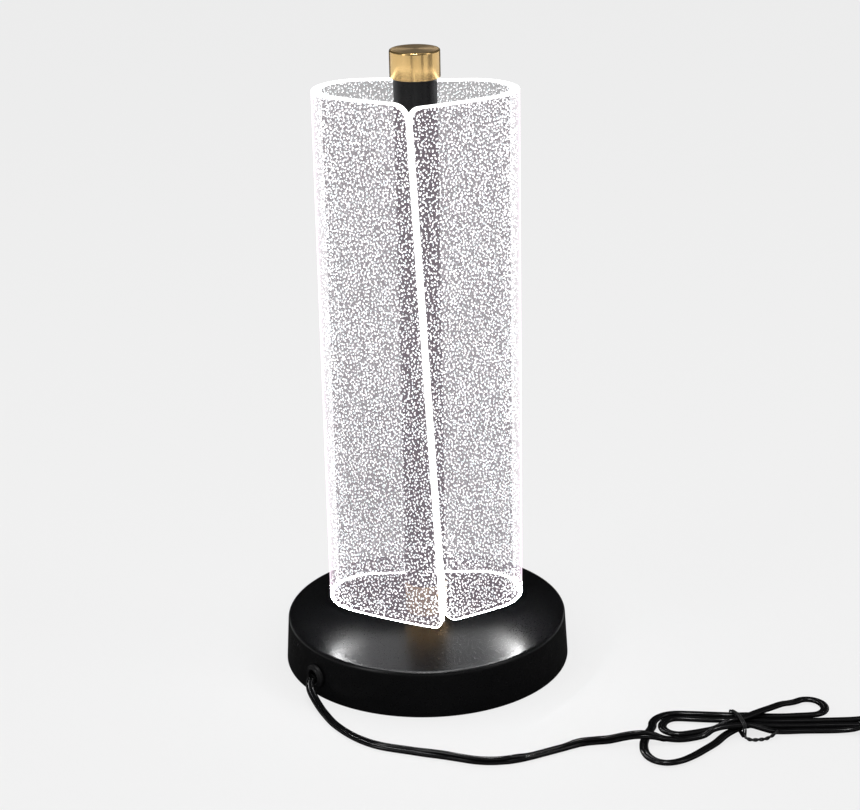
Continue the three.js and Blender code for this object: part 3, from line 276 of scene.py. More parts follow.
floor_lie = 1.3
lead_route = [
    mm(-60.9, -50.3, 10.7), mm(-61.8, -51.9, 9), mm(-61.7, -53.8, 7.2), mm(-60.9, -56.3, 5.7),
    mm(-59.5, -59.4, 4.3), mm(-57.8, -63, 3.1), mm(-55.9, -67, 2.1), mm(-53.5, -72, 1.5),
    mm(-48.9, -81.5, floor_lie), mm(-43.2, -90, floor_lie), mm(-36.7, -97.6, floor_lie),
    mm(-30.3, -103.2, floor_lie), mm(-24, -107, floor_lie), mm(-16.8, -109.8, floor_lie),
    mm(-8.8, -112.5, floor_lie), mm(-0.8, -115.4, floor_lie), mm(7.1, -118.2, floor_lie),
    mm(14.1, -121, floor_lie), mm(22.8, -124, floor_lie), mm(31, -125, floor_lie),
    mm(38.5, -124.2, floor_lie), mm(46, -121.5, floor_lie), mm(55, -117.4, floor_lie),
    mm(64.8, -112.8, floor_lie), mm(74, -108.9, floor_lie), mm(84, -107.2, floor_lie),
]

strand_on_strand = 3.3
high_lie = floor_lie + strand_on_strand
fold_step = 22.5


def fold_places(x, y, radius, first_turn, last_turn, height):
    """Places round a fold, from one compass turn to another, as seen from above."""
    steps = round(abs(last_turn - first_turn) / fold_step)
    places = []
    for i in range(steps + 1):
        turn = math.radians(first_turn + (last_turn - first_turn) * i / steps)
        places.append(mm(x + radius * math.sin(turn), y + radius * math.cos(turn), height))
    return places


hank_entry = [
    mm(84.5, -107.15, floor_lie), mm(90, -107.1, 1.7), mm(96, -107.7, 3.3), mm(102, -108.3, 4.6),
    mm(107.5, -108.5, 4.8), mm(113, -108.1, 4.2), mm(118.5, -107.5, 2.4), mm(125, -106.8, floor_lie),
    mm(131.5, -105.7, floor_lie), mm(138, -104.4, 2.1), mm(141.5, -103.7, 4.1), mm(145, -103.1, high_lie),
    mm(150, -102.4, high_lie), mm(156, -101.8, high_lie), mm(161, -101.4, 4.4), mm(167, -101, 2.6),
    mm(173, -100.8, floor_lie), mm(190, -100.8, floor_lie), mm(206, -101, floor_lie), mm(213, -101.6, 2.2),
    mm(220, -102.6, high_lie), mm(232, -104.3, high_lie), mm(244, -105.4, high_lie),
]
right_fold = fold_places(x=256, y=-96.4, radius=9.3, first_turn=180, last_turn=0, height=high_lie)
back_run = [
    mm(246, -87.4, high_lie), mm(235, -88.4, 3.6), mm(226, -89.4, 2), mm(217, -90.2, floor_lie),
    mm(205, -90.6, floor_lie), mm(190, -90.5, floor_lie), mm(175, -90.5, floor_lie),
    mm(163, -90.6, floor_lie), mm(156, -90.6, floor_lie), mm(149, -90, floor_lie),
    mm(142, -88.2, floor_lie), mm(134, -86.1, floor_lie),
]
inner_turn = fold_places(x=126, y=-93.3, radius=8.1, first_turn=0, last_turn=-180, height=floor_lie)
crossing = [
    mm(132, -100.3, floor_lie), mm(138, -98.9, floor_lie), mm(144, -97.6, floor_lie), mm(148, -96.9, 2.8),
    mm(151.5, -96.4, high_lie), mm(156, -95.6, high_lie), mm(161.5, -92.3, high_lie),
    mm(167, -87.9, high_lie), mm(174, -82.6, high_lie), mm(181.2, -76.5, 3.6), mm(185.6, -73, 2.2),
]
upper_loop = fold_places(x=195, y=-76.3, radius=8.3, first_turn=-41, last_turn=180, height=floor_lie)
rear_run = [
    mm(188, -85, floor_lie), mm(180, -85.3, floor_lie), mm(172, -85.4, floor_lie),
    mm(163, -85.5, floor_lie), mm(156, -85.5, floor_lie), mm(149, -84.6, floor_lie),
    mm(141, -82.2, floor_lie), mm(133, -80.5, floor_lie),
]
outer_turn = fold_places(x=126, y=-93.3, radius=13.3, first_turn=0, last_turn=-90, height=floor_lie)
loose_loop = [
    mm(110.3, -98.6, floor_lie), mm(108.4, -103.9, floor_lie), mm(107, -109, floor_lie),
    mm(106.5, -113.5, floor_lie), mm(106.6, -118, floor_lie), mm(108, -123, floor_lie),
    mm(111.2, -127.3, floor_lie), mm(116.2, -129.3, floor_lie), mm(122.6, -127.9, floor_lie),
    mm(129.6, -123.3, floor_lie), mm(136.8, -116.6, floor_lie), mm(142.9, -110.4, floor_lie),
    mm(148, -105.3, floor_lie), mm(153, -100.8, floor_lie), mm(158, -97.3, floor_lie),
    mm(163.5, -95.7, floor_lie),
]
hank_exit = [
    mm(170, -95.5, floor_lie), mm(190, -95.6, floor_lie), mm(205, -95.7, floor_lie),
    mm(216, -96, floor_lie), mm(228, -97.2, floor_lie), mm(239, -99.9, floor_lie),
    mm(248, -103.8, floor_lie), mm(255, -107.5, floor_lie), mm(261, -109.8, floor_lie),
    mm(265.5, -110.5, 1.6), mm(271, -110.6, 3.2), mm(276, -110.6, 5.2), mm(281, -110.6, 6.15),
    mm(288, -110.6, 6.15),
]
tie_x = 156
tie_y = -93.65
tie_half_width = 4
lift_fades_over = 18
hank_half_depth = 14
hank_lift = 1.3


def ease(share):
    kept = min(max(share, 0.0), 1.0)
    return kept * kept * (3 - 2 * kept)


def lifted(point):
    """The tie goes under the strands as well, so they rise a little where it holds them."""
    share = ease(1 - (abs(in_mm(point.x) - tie_x) - tie_half_width) / lift_fades_over)
    if abs(in_mm(point.y) - tie_y) < hank_half_depth:
        return point + mm(0, 0, hank_lift * share)
    return point


hank_route = [lifted(p) for p in (
    hank_entry + right_fold + back_run + inner_turn + crossing + upper_loop
    + rear_run + outer_turn + loose_loop + hank_exit)]


def smooth_way(points, step):
    """Points a step apart on the centripetal curve through the given ones."""
    ends = [points[0] * 2 - points[1], *points, points[-1] * 2 - points[-2]]
    way = []
    for a, b, c, d in zip(ends, ends[1:], ends[2:], ends[3:]):
        knots = [0.0]
        for first, second in ((a, b), (b, c), (c, d)):
            knots.append(knots[-1] + math.sqrt((second - first).length))
        count = max(round((c - b).length / step), 1)
        for i in range(count):
            t = knots[1] + (knots[2] - knots[1]) * i / count
            ab = a.lerp(b, t / knots[1])
            bc = b.lerp(c, (t - knots[1]) / (knots[2] - knots[1]))
            cd = c.lerp(d, (t - knots[2]) / (knots[3] - knots[2]))
            abc = ab.lerp(bc, t / knots[2])
            bcd = bc.lerp(cd, (t - knots[1]) / (knots[3] - knots[1]))
            way.append(abc.lerp(bcd, (t - knots[1]) / (knots[2] - knots[1])))
    way.append(points[-1].copy())
    return way


def turn_along(way, marks):
    """The cord's roll at each point, from (x in mm, degrees) marks that follow its way."""
    turns = []
    for point in way:
        x = in_mm(point.x)
        turn = marks[-1][1] if x >= marks[-1][0] else marks[0][1]
        for (x0, first), (x1, second) in zip(marks, marks[1:]):
            if x0 <= x < x1:
                turn = first + (second - first) * ease((x - x0) / (x1 - x0))
        turns.append(math.radians(turn))
    return turns


def tube_mesh(name, way, section, turns, is_closed=False):
    """A tube of the given section along a way, kept upright and rolled by the given turns."""
    shape = bpy.data.curves.new(name + "_section", "CURVE")
    shape.dimensions = "2D"
    outline = shape.splines.new("POLY")
    outline.points.add(len(section) - 1)
    for point, (x, y) in zip(outline.points, section):
        point.co = (x, y, 0, 1)
    outline.use_cyclic_u = True
    shape_object = bpy.data.objects.new(name + "_section", shape)
    curve = bpy.data.curves.new(name + "_curve", "CURVE")
    curve.dimensions = "3D"
    curve.twist_mode = "Z_UP"
    curve.bevel_mode = "OBJECT"
    curve.bevel_object = shape_object
    curve.use_fill_caps = not is_closed
    line = curve.splines.new("POLY")
    line.points.add(len(way) - 1)
    line.use_cyclic_u = is_closed
    for point, place, turn in zip(line.points, way, turns):
        point.co = (*place, 1)
        point.tilt = turn
    holder = bpy.data.objects.new(name + "_curve", curve)
    put_in_scene(shape_object)
    put_in_scene(holder)
    drawn = holder.evaluated_get(bpy.context.evaluated_depsgraph_get())
    skin = bmesh.new()
    skin.from_mesh(drawn.to_mesh())
    bmesh.ops.remove_doubles(skin, verts=skin.verts, dist=merge_distance)
    bmesh.ops.recalc_face_normals(skin, faces=skin.faces)
    bpy.data.objects.remove(holder)
    bpy.data.objects.remove(shape_object)
    return mesh_of(skin, name)


def flex_section():
    """Two round cores side by side, with a groove where they meet."""
    apart = cord_width / 2 - cord_core
    meet = math.degrees(math.acos(-apart / cord_core))
    right = arc(apart, 0, cord_core, -meet, meet, core_steps)
    left = arc(-apart, 0, cord_core, 180 - meet, 180 + meet, core_steps)
    return right + left[1:-1]


def rolled_up(way, turns):
    """A flat cord that rolls onto its edge stands higher, so its middle rises with it."""
    half_apart = cord_width / 2 - cord_core
    return [p + Vector((0, 0, half_apart * abs(math.sin(t)))) for p, t in zip(way, turns)]


flex = surface(
    "flex", (0.0022, 0.0022, 0.0025), (0.004, 0.004, 0.0044), 0.2, gloss=0.42, grain=900, relief=0.04)
# The lead is rolled onto its edge in its wide bend and again before the hank, and the strands of
# the hank lean a little, with their wide side towards the front.
lead_marks = [
    (-61, 0), (-46, 0), (-24, 26), (-9, 30), (16, 86), (34, 86), (52, 10), (66, 10), (80, 82),
    (104, 82), (117, 0),
]
strand_lean = math.radians(-14)
lead_end = 0.118
supply_way = smooth_way(lead_route + hank_route, cord_step)
lead_count = next(i for i, point in enumerate(supply_way) if point.x > lead_end)
supply_turns = turn_along(supply_way[:lead_count], lead_marks)
for before, point, after in zip(
        supply_way[lead_count - 1:], supply_way[lead_count:], supply_way[lead_count + 1:]):
    supply_turns.append(strand_lean * (after - before).normalized().x)
supply_turns.append(0.0)
supply_way = rolled_up(supply_way, supply_turns)
supply_cord = keep(
    tube_mesh("supply_cord", supply_way, flex_section(), supply_turns), "supply_cord", flex)
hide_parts("cord_lead", "cord_hank")

# The stretch inside the base runs beside the driver, through the clamp and into the bushing.
finish_nodes(flex, "mains_lead_inner")


# Tie: a plastic-covered wire, wound twice round the strands of the hank.
# Its two ends are twisted together in front and lie on the floor.
tie_wire = 0.0005
wire_sides = 8
turn_shifts = (-0.55, 0.55)
turn_slant = 0.18
turn_step = 0.0008
end_step = 0.0005
twist_radius = 0.5
twist_per_step = 0.5
tie_loop = [
    (-10.6, 0.95), (-9.8, 0.55), (-5, 0.55), (0, 0.55), (5, 0.55), (9.8, 0.55), (10.6, 0.95),
    (10.8, 2.6), (10.6, 4.3), (9.4, 5), (4, 6.8), (1.4, 7.7), (-3, 8), (-7.6, 7.9), (-9.8, 7.5),
    (-10.7, 6.5), (-10.75, 4),
]


def round_section(radius, sides):
    return arc(0, 0, radius, 0, 360 - 360 / sides, sides - 1)


def tie_wires():
    """Two turns of wire side by side, then a twisted pair of ends on the floor."""
    skins = []
    section = round_section(tie_wire, wire_sides)
    for shift in turn_shifts:
        points = [mm(tie_x + shift - turn_slant * y, tie_y + y, z) for y, z in tie_loop]
        way = smooth_way(points + points[:1], turn_step)[:-1]
        skins.append(tube_mesh("tie_turn", way, section, [0] * len(way), True))
    spine = smooth_way([
        mm(157.8, -104.9, 3), mm(158.2, -106.4, 1.7), mm(160.6, -107.9, 1.2), mm(164.5, -108, 1.2),
        mm(168.4, -107.3, 1.3), mm(171.6, -106, 2.2), mm(174.6, -104.6, 3.6),
    ], end_step)
    for start in (0, math.pi):
        way = []
        for i, point in enumerate(spine):
            turn = start + i * twist_per_step
            way.append(point + mm(0, twist_radius * math.cos(turn), twist_radius * math.sin(turn)))
        skins.append(tube_mesh("tie_end", way, section, [0] * len(way)))
    return skins


tie_plastic = surface("tie_plastic", (0.007, 0.007, 0.0075), (0.013, 0.013, 0.0135), 0.4, relief=0.15)
tie_skin = bmesh.new()
for part in tie_wires():
    tie_skin.from_mesh(part)
cord_tie = keep(mesh_of(tie_skin, "twisted_tie"), "twisted_tie", tie_plastic)
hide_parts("cord_tie")


# Inline switch: two halves of moulded plastic screwed together round the cord, with a rocker.
# Inside, a brass blade under the rocker closes the circuit between two terminals.
black_plastic = surface("black_plastic", (0.009, 0.009, 0.0095), (0.015, 0.015, 0.0155), 0.42, relief=0.25)
contact_brass = surface("contact_brass", (0.5, 0.34, 0.12), (0.62, 0.44, 0.17), 0.3, metal=1.0)
finish_nodes(black_plastic, "switch_lower_case", "switch_upper_case", "switch_rocker")
finish_nodes(contact_brass, "switch_terminal_in", "switch_terminal_out", "switch_blade")
finish_nodes(zinc_steel, "switch_pin", "switch_screw_1", "switch_screw_2")


# Plug cord: the same flat flex, from the switch to the plug.
# It lies in one wide bend behind the switch.
plug_route = [
    mm(332, -110.6, 6.15), mm(339, -110.6, 6.15), mm(344.5, -110.2, 5.2), mm(350, -109.4, 3.2),
    mm(356, -107.9, 1.6), mm(366, -105.6, floor_lie), mm(384, -104.4, floor_lie),
    mm(408, -103.9, floor_lie), mm(430, -103.3, floor_lie), mm(444, -100.4, floor_lie),
    mm(455, -93, floor_lie), mm(460.6, -83, floor_lie), mm(461, -72.6, floor_lie),
    mm(456.6, -63, floor_lie), mm(448, -55.8, floor_lie), mm(436, -51.4, floor_lie),
    mm(420, -49.8, floor_lie), mm(396, -49.4, floor_lie), mm(370, -49.2, floor_lie),
    mm(344, -49, floor_lie), mm(318, -48.6, floor_lie), mm(296, -48.6, floor_lie),
    mm(284, -49.6, floor_lie), mm(276.6, -54, floor_lie), mm(273, -61, floor_lie), mm(274.8, -68, 2),
    mm(279.6, -72, 3.8), mm(285, -73, 5.8), mm(289.4, -73, 6.85), mm(293.7, -73, 6.85),
]
plug_way = smooth_way(plug_route, cord_step)
plug_cord = keep(
    tube_mesh("plug_cord", plug_way, flex_section(), [0] * len(plug_way)), "plug_cord", flex)
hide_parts("cord_tail")


# Plug: a plastic body moulded onto the cord in one piece with its tapered sleeve.
# Two brass pins are set in its face.
finish_nodes(black_plastic, "plug_body")
finish_nodes(contact_brass, "plug_pin_1", "plug_pin_2")


# Stem: a threaded steel pipe through the middle of the lamp, which draws cap, post and base together
# with a nut and washer below. Two nylon bushes keep the post centred on it.
nylon = surface("nylon", (0.55, 0.54, 0.5), (0.64, 0.63, 0.59), 0.5, relief=0.1)
finish_nodes(zinc_steel, "stem_pipe", "stem_nut", "stem_washer")
finish_nodes(nylon, "lower_bush", "upper_bush")


# Collar: a turned brass ring between the base and the post, polished and lacquered.
# The stem clamps it with the rest of the column.
def brass_finish(name, first, second, roughness, metal):
    return surface(name, first, second, roughness, metal, patches=30, grain=2600, relief=0.02)


turned_brass = brass_finish("turned_brass", (0.7, 0.44, 0.19), (0.82, 0.54, 0.26), 0.38, metal=0.75)
collar_sides = 72
collar_edge_steps = 3
post_radius = 0.0113
stem_clear = 0.0053
collar_low = 0.0257
collar_high = 0.043
collar_edge = 0.0005
collar_profile = [
    (stem_clear, collar_low),
    *arc(post_radius - collar_edge, collar_low + collar_edge, collar_edge, -90, 0, collar_edge_steps),
    *arc(post_radius - collar_edge, collar_high - collar_edge, collar_edge, 0, 90, collar_edge_steps),
    (stem_clear, collar_high),
    (stem_clear, collar_low),
]
collar_skin = turned_skin(collar_profile, collar_sides)
collar = keep(mesh_of(collar_skin, "collar_fine"), "collar_fine", turned_brass)
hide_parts("lower_collar")


# Post: a steel tube with the same black coat, slotted down both sides for the feet of the sheets.
# It is spun as a ring, and the slots are the strips left out of its wall. The cut edges of the
# wall stay open, behind the feet of the sheets that fill the slots.
post_bore = 0.0098
post_low = 0.0433
post_high = 0.3165
slot_low = 0.0457
slot_half = 0.0028
post_sides = 96
cut_distance = 1e-7


def cut_across(skin, place, way, distance):
    """Adds the edges where a plane crosses the skin."""
    bmesh.ops.bisect_plane(
        skin, geom=skin.verts[:] + skin.edges[:] + skin.faces[:], dist=distance, plane_co=place,
        plane_no=way)


def post_skin():
    """A tube whose wall is cut away between the slot's sides, above the sill."""
    skin = turned_skin([
        (post_bore, post_low), (post_radius, post_low), (post_radius, post_high), (post_bore, post_high),
        (post_bore, post_low),
    ], post_sides)
    cut_across(skin, (0, 0, slot_low), (0, 0, 1), cut_distance)
    cut_across(skin, (0, slot_half, 0), (0, 1, 0), cut_distance)
    cut_across(skin, (0, -slot_half, 0), (0, 1, 0), cut_distance)
    cut = [face for face in skin.faces if (
        abs(face.calc_center_median().y) < slot_half and face.calc_center_median().z > slot_low)]
    bmesh.ops.delete(skin, geom=cut, context="FACES")
    bmesh.ops.recalc_face_normals(skin, faces=skin.faces)
    return skin


post = keep(mesh_of(post_skin(), "post_fine"), "post_fine", black_coat)
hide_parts("post_tube")


# Light bars: two aluminium strips beside the pipe, each with a board of white chips
# that shine outwards into the foot of a sheet.
aluminium = surface("aluminium", (0.5, 0.51, 0.52), (0.6, 0.61, 0.62), 0.36, metal=1.0, patches=160)
light_board = surface("light_board", (0.7, 0.7, 0.66), (0.78, 0.78, 0.74), 0.5)
chips = light_board.node_tree.nodes["Principled BSDF"]
chips.inputs["Emission Color"].default_value = (1, 0.97, 0.9, 1)
chips.inputs["Emission Strength"].default_value = 0.6
finish_nodes(aluminium, "led_bar_left", "led_bar_right")
finish_nodes(light_board, "led_strip_left", "led_strip_right")


# Sheets: clear cast sheet, cut to a panel with a slanted front edge and round corners, then bent
# warm round the side. Their edges carry the light out and glow white.
sheet_thickness = 0.005
sheet_foot = 0.009
side_radius = 0.0223
side_centre = Vector((-0.026, -0.0223))
side_turn = math.radians(147)
front_radius = 0.28
front_start = math.pi + side_turn
front_centre = side_centre + Vector((math.sin(front_start), -math.cos(front_start))) * (
    side_radius - front_radius)
straight_run = -side_centre.x - sheet_foot
side_run = side_radius * side_turn
sheet_low = 0.046
left_high = 0.3162
right_high = 0.3151
seam_top = -0.0036
seam_bottom = 0.0086
seam_half_gap = 0.0002
left_sizes = (-1, left_high, 0.0045, 0.008)
right_sizes = (1, right_high, 0.007, 0.006)
corner_segments = 8
upper_corner_pull = 3
bend_strips = 28
front_strips = 8
front_strip = 0.006
rim_round = 0.0004
lit_edge_from = 0.0008
outer_side = 0
lit_side = 1
inner_side = 2
facing_from = 0.9
underneath_from = -0.5
rim_under_from = -0.2
plain_mirror = 0.02
slant_power = 6.0
left_bend_light = 75.0
right_bend_light = 110.0
straight_light = 2.0
front_light_share = 0.16
bend_from = 0.03
bend_to = 0.048
foot_light_from = 0.06
foot_light_to = 0.1


def bent(along, out, height):
    """Where a point of the flat panel goes when the panel is bent: the left sheet's place."""
    if along <= straight_run:
        return Vector((-sheet_foot - along, out, height))
    if along <= straight_run + side_run:
        turn = math.pi + (along - straight_run) / side_radius
        place = side_centre + Vector((math.sin(turn), -math.cos(turn))) * (side_radius + out)
    else:
        turn = front_start + (along - straight_run - side_run) / front_radius
        place = front_centre + Vector((math.sin(turn), -math.cos(turn))) * (front_radius + out)
    return Vector((place.x, place.y, height))


def along_at(x):
    """How far along the panel its front edge lies, where that edge stands at x on the left sheet."""
    turn = 2 * math.pi + math.asin((x - front_centre.x) / front_radius)
    return straight_run + side_run + front_radius * (turn - front_start)


def flat_panel(side, high, low_round, high_round, inset=0.0):
    """The cut panel before bending, seen from outside, in the XZ plane."""
    low_edge = along_at(-side * seam_bottom - seam_half_gap)
    high_edge = along_at(-side * seam_top - seam_half_gap)
    skin = bmesh.new()
    corners = [skin.verts.new(place) for place in (
        (inset, 0, sheet_low + inset), (low_edge - inset, 0, sheet_low + inset),
        (high_edge - inset, 0, high - inset), (inset, 0, high - inset))]
    skin.faces.new(corners)
    bmesh.ops.bevel(
        skin, geom=[corners[1]], affect="VERTICES", offset=low_round - inset, segments=corner_segments,
        profile=0.5, material=-1)
    upper_corner = max(skin.verts, key=lambda v: v.co.x + upper_corner_pull * v.co.z)
    bmesh.ops.bevel(
        skin, geom=[upper_corner], affect="VERTICES", offset=high_round - inset,
        segments=corner_segments, profile=0.5, material=-1)
    return skin


def bend_panel(skin, side):
    """Cuts the panel into narrow strips and lays them round the side."""
    stations = [straight_run + side_run * i / bend_strips for i in range(bend_strips + 1)]
    stations += [straight_run + side_run + front_strip * i for i in range(1, front_strips + 1)]
    for along in stations:
        cut_across(skin, (along, 0, 0), (1, 0, 0), merge_distance)
    for corner in skin.verts:
        corner.co = bent(*corner.co)
    if side > 0:
        bmesh.ops.scale(skin, vec=(-1, 1, 1), verts=skin.verts)
    bmesh.ops.recalc_face_normals(skin, faces=skin.faces)


def sheet_skin(side, high, low_round, high_round):
    """The bent sheet, with clear faces inside and out, lit edges and softened rims."""
    skin = flat_panel(side, high, low_round, high_round)
    bmesh.ops.translate(skin, vec=(0, -sheet_thickness / 2, 0), verts=skin.verts)
    raised = bmesh.ops.extrude_face_region(skin, geom=skin.faces[:])["geom"]
    bmesh.ops.translate(
        skin, vec=(0, sheet_thickness, 0), verts=[v for v in raised if isinstance(v, bmesh.types.BMVert)])
    bmesh.ops.recalc_face_normals(skin, faces=skin.faces)
    cut_across(skin, (0, lit_edge_from, 0), (0, 1, 0), cut_distance)
    for face in skin.faces:
        is_under = face.normal.z < underneath_from and face.calc_center_median().y < lit_edge_from
        if face.normal.y > facing_from:
            face.material_index = outer_side
        elif face.normal.y < -facing_from or is_under:
            face.material_index = inner_side
        else:
            face.material_index = lit_side
    rims = [edge for edge in skin.edges
            if sum(abs(face.normal.y) > facing_from for face in edge.link_faces) == 1]
    bmesh.ops.bevel(
        skin, geom=rims, affect="EDGES", offset=rim_round, segments=2, profile=0.5, material=lit_side)
    for face in skin.faces:
        if face.normal.z < rim_under_from and face.calc_center_median().y < lit_edge_from:
            face.material_index = inner_side
    bend_panel(skin, side)
    # The bend has turned the faces, so their directions are measured before they are set outwards.
    skin.normal_update()
    bmesh.ops.recalc_face_normals(skin, faces=skin.faces)
    return skin


def worked_out(nodes, links, operation, *values):
    """The result of one step of arithmetic on outputs of nodes and plain numbers."""
    step = nodes.new("ShaderNodeMath")
    step.operation = operation
    for socket, value in zip(step.inputs, values):
        if isinstance(value, float):
            socket.default_value = value
        else:
            links.new(value, socket)
    return step.outputs["Value"]


def set_by_slant(nodes, links, steep, plain, slanted, socket):
    """Links a socket that changes with the slant, and sets one that doesn't."""
    if plain == slanted:
        socket.default_value = plain
    else:
        links.new(mapped(nodes, links, steep, plain, slanted), socket)


def clear_sheet(name, first, second, plain_glow, slant_glow, slant_mirror):
    """Clear sheet: it dims what lies behind it, and glows and mirrors more at a slant."""
    made = bpy.data.materials.new(name)
    made.use_nodes = True
    nodes, links = made.node_tree.nodes, made.node_tree.links
    nodes.remove(nodes["Principled BSDF"])
    place = nodes.new("ShaderNodeTexCoord")
    cloud = noise_on(nodes, links, place, scale=30.0, detail=2.0)
    see_through = nodes.new("ShaderNodeBsdfTransparent")
    dimming = shade_between(nodes, links, cloud.outputs["Fac"], first, second)
    links.new(dimming, see_through.inputs["Color"])
    glow = nodes.new("ShaderNodeEmission")
    glow.inputs["Color"].default_value = (1.0, 0.81, 0.95, 1)
    body = nodes.new("ShaderNodeAddShader")
    links.new(see_through.outputs["BSDF"], body.inputs[0])
    links.new(glow.outputs["Emission"], body.inputs[1])
    mirror = nodes.new("ShaderNodeBsdfGlossy")
    mirror.inputs["Roughness"].default_value = 0.08
    slant = nodes.new("ShaderNodeLayerWeight")
    slant.inputs["Blend"].default_value = 0.5
    steep = worked_out(nodes, links, "POWER", slant.outputs["Facing"], slant_power)
    set_by_slant(nodes, links, steep, plain_glow, slant_glow, glow.inputs["Strength"])
    mixed = nodes.new("ShaderNodeMixShader")
    set_by_slant(nodes, links, steep, plain_mirror, slant_mirror, mixed.inputs["Fac"])
    links.new(body.outputs["Shader"], mixed.inputs[1])
    links.new(mirror.outputs["BSDF"], mixed.inputs[2])
    links.new(mixed.outputs["Shader"], nodes["Material Output"].inputs["Surface"])
    return made


def glowing(name, first, second, strength):
    """White light that comes out of an edge or a bubble, with a faint drift of tint."""
    made = surface(name, (0.7, 0.7, 0.7), (0.8, 0.8, 0.8), 0.4)
    nodes, links = made.node_tree.nodes, made.node_tree.links
    shader = nodes["Principled BSDF"]
    place = nodes["Texture Coordinate"]
    drift = noise_on(nodes, links, place, scale=1100.0, detail=1.0)
    tint = shade_between(nodes, links, drift.outputs["Fac"], first, second)
    links.new(tint, shader.inputs["Emission Color"])
    shader.inputs["Emission Strength"].default_value = strength
    return made


def brighter_on_bends(material, low, high):
    """The sheets leak most of their light at the foot of their bends, so the edges are brightest there."""
    nodes, links = material.node_tree.nodes, material.node_tree.links
    apart = nodes.new("ShaderNodeSeparateXYZ")
    links.new(nodes["Texture Coordinate"].outputs["Object"], apart.inputs["Vector"])
    aside = worked_out(nodes, links, "ABSOLUTE", apart.outputs["X"])
    on_bend = mapped(nodes, links, aside, front_light_share, 1.0, bend_from, bend_to)
    on_bend.node.interpolation_type = "SMOOTHSTEP"
    near_foot = mapped(nodes, links, apart.outputs["Z"], 1.0, 0.0, foot_light_from, foot_light_to)
    total = worked_out(nodes, links, "MULTIPLY", on_bend, near_foot)
    strength = mapped(nodes, links, total, low, high)
    links.new(strength, nodes["Principled BSDF"].inputs["Emission Strength"])


sheet_outside = clear_sheet(
    "clear_sheet", (0.705, 0.716, 0.71), (0.775, 0.787, 0.78), plain_glow=0.13, slant_glow=1.4,
    slant_mirror=0.25)
sheet_inside = clear_sheet(
    "clear_sheet_inside", (0.53, 0.54, 0.535), (0.59, 0.6, 0.595), plain_glow=0.03, slant_glow=0.03,
    slant_mirror=plain_mirror)
for name, sizes, bend_light in (
        ("shade_left", left_sizes, left_bend_light), ("shade_right", right_sizes, right_bend_light)):
    lit_edge = glowing(name + "_edge", (1.0, 0.98, 0.95), (0.95, 0.97, 1.0), straight_light)
    brighter_on_bends(lit_edge, straight_light, bend_light)
    sheet_mesh = mesh_of(sheet_skin(*sizes), name + "_fine")
    sheet = keep(sheet_mesh, name + "_fine", sheet_outside, lit_edge, sheet_inside)
    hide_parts(name)


# Bubbles: small round hollows all through the cast sheet, which throw the light out as bright dots.
# They are modelled one by one, in three layers in the thickness, fewer of them on the bends. Their
# undersides are brighter, where they light the base.
bubble_margin = 0.0008
bubble_small = 0.00029
bubble_large = 0.00051
bubble_under_from = -0.6
bubble_layers = ((-0.0014, 11), (0.0, 17), (0.0014, 23))
bubble_spacing = 0.0015
bubble_shift = 0.0005
bubbles_per_square_metre = 600000
share_on_bends = 0.35
front_facing_from = 0.4
right_seed_shift = 100


def bubble_nodes(name, seed):
    """Scatters small balls over a surface and moves each a little in or out."""
    group = bpy.data.node_groups.new(name, "GeometryNodeTree")
    group.interface.new_socket("Geometry", in_out="INPUT", socket_type="NodeSocketGeometry")
    group.interface.new_socket("Geometry", in_out="OUTPUT", socket_type="NodeSocketGeometry")
    nodes, links = group.nodes, group.links
    surface_in = nodes.new("NodeGroupInput")
    scatter = nodes.new("GeometryNodeDistributePointsOnFaces")
    scatter.distribute_method = "POISSON"
    scatter.inputs["Distance Min"].default_value = bubble_spacing
    scatter.inputs["Density Max"].default_value = bubbles_per_square_metre
    scatter.inputs["Seed"].default_value = seed
    facing = nodes.new("GeometryNodeInputNormal")
    apart = nodes.new("ShaderNodeSeparateXYZ")
    links.new(facing.outputs["Normal"], apart.inputs["Vector"])
    squared = worked_out(nodes, links, "MULTIPLY", apart.outputs["Y"], apart.outputs["Y"])
    density = mapped(nodes, links, squared, share_on_bends, 1.0, 0.0, front_facing_from)
    links.new(density, scatter.inputs["Density Factor"])
    ball = nodes.new("GeometryNodeMeshIcoSphere")
    ball.inputs["Radius"].default_value = 1.0
    ball.inputs["Subdivisions"].default_value = 1
    size = nodes.new("FunctionNodeRandomValue")
    size.inputs[2].default_value = bubble_small
    size.inputs[3].default_value = bubble_large
    size.inputs["Seed"].default_value = seed + 1
    shift = nodes.new("FunctionNodeRandomValue")
    shift.inputs[2].default_value = -bubble_shift
    shift.inputs[3].default_value = bubble_shift
    shift.inputs["Seed"].default_value = seed + 2
    outwards = nodes.new("ShaderNodeVectorMath")
    outwards.operation = "SCALE"
    move = nodes.new("GeometryNodeSetPosition")
    place = nodes.new("GeometryNodeInstanceOnPoints")
    real = nodes.new("GeometryNodeRealizeInstances")
    out = nodes.new("NodeGroupOutput")
    links.new(surface_in.outputs[0], scatter.inputs["Mesh"])
    links.new(scatter.outputs["Normal"], outwards.inputs[0])
    links.new(shift.outputs[1], outwards.inputs["Scale"])
    links.new(scatter.outputs["Points"], move.inputs["Geometry"])
    links.new(outwards.outputs["Vector"], move.inputs["Offset"])
    links.new(move.outputs["Geometry"], place.inputs["Points"])
    links.new(ball.outputs["Mesh"], place.inputs["Instance"])
    links.new(size.outputs[1], place.inputs["Scale"])
    links.new(place.outputs["Instances"], real.inputs["Geometry"])
    links.new(real.outputs["Geometry"], out.inputs[0])
    return group


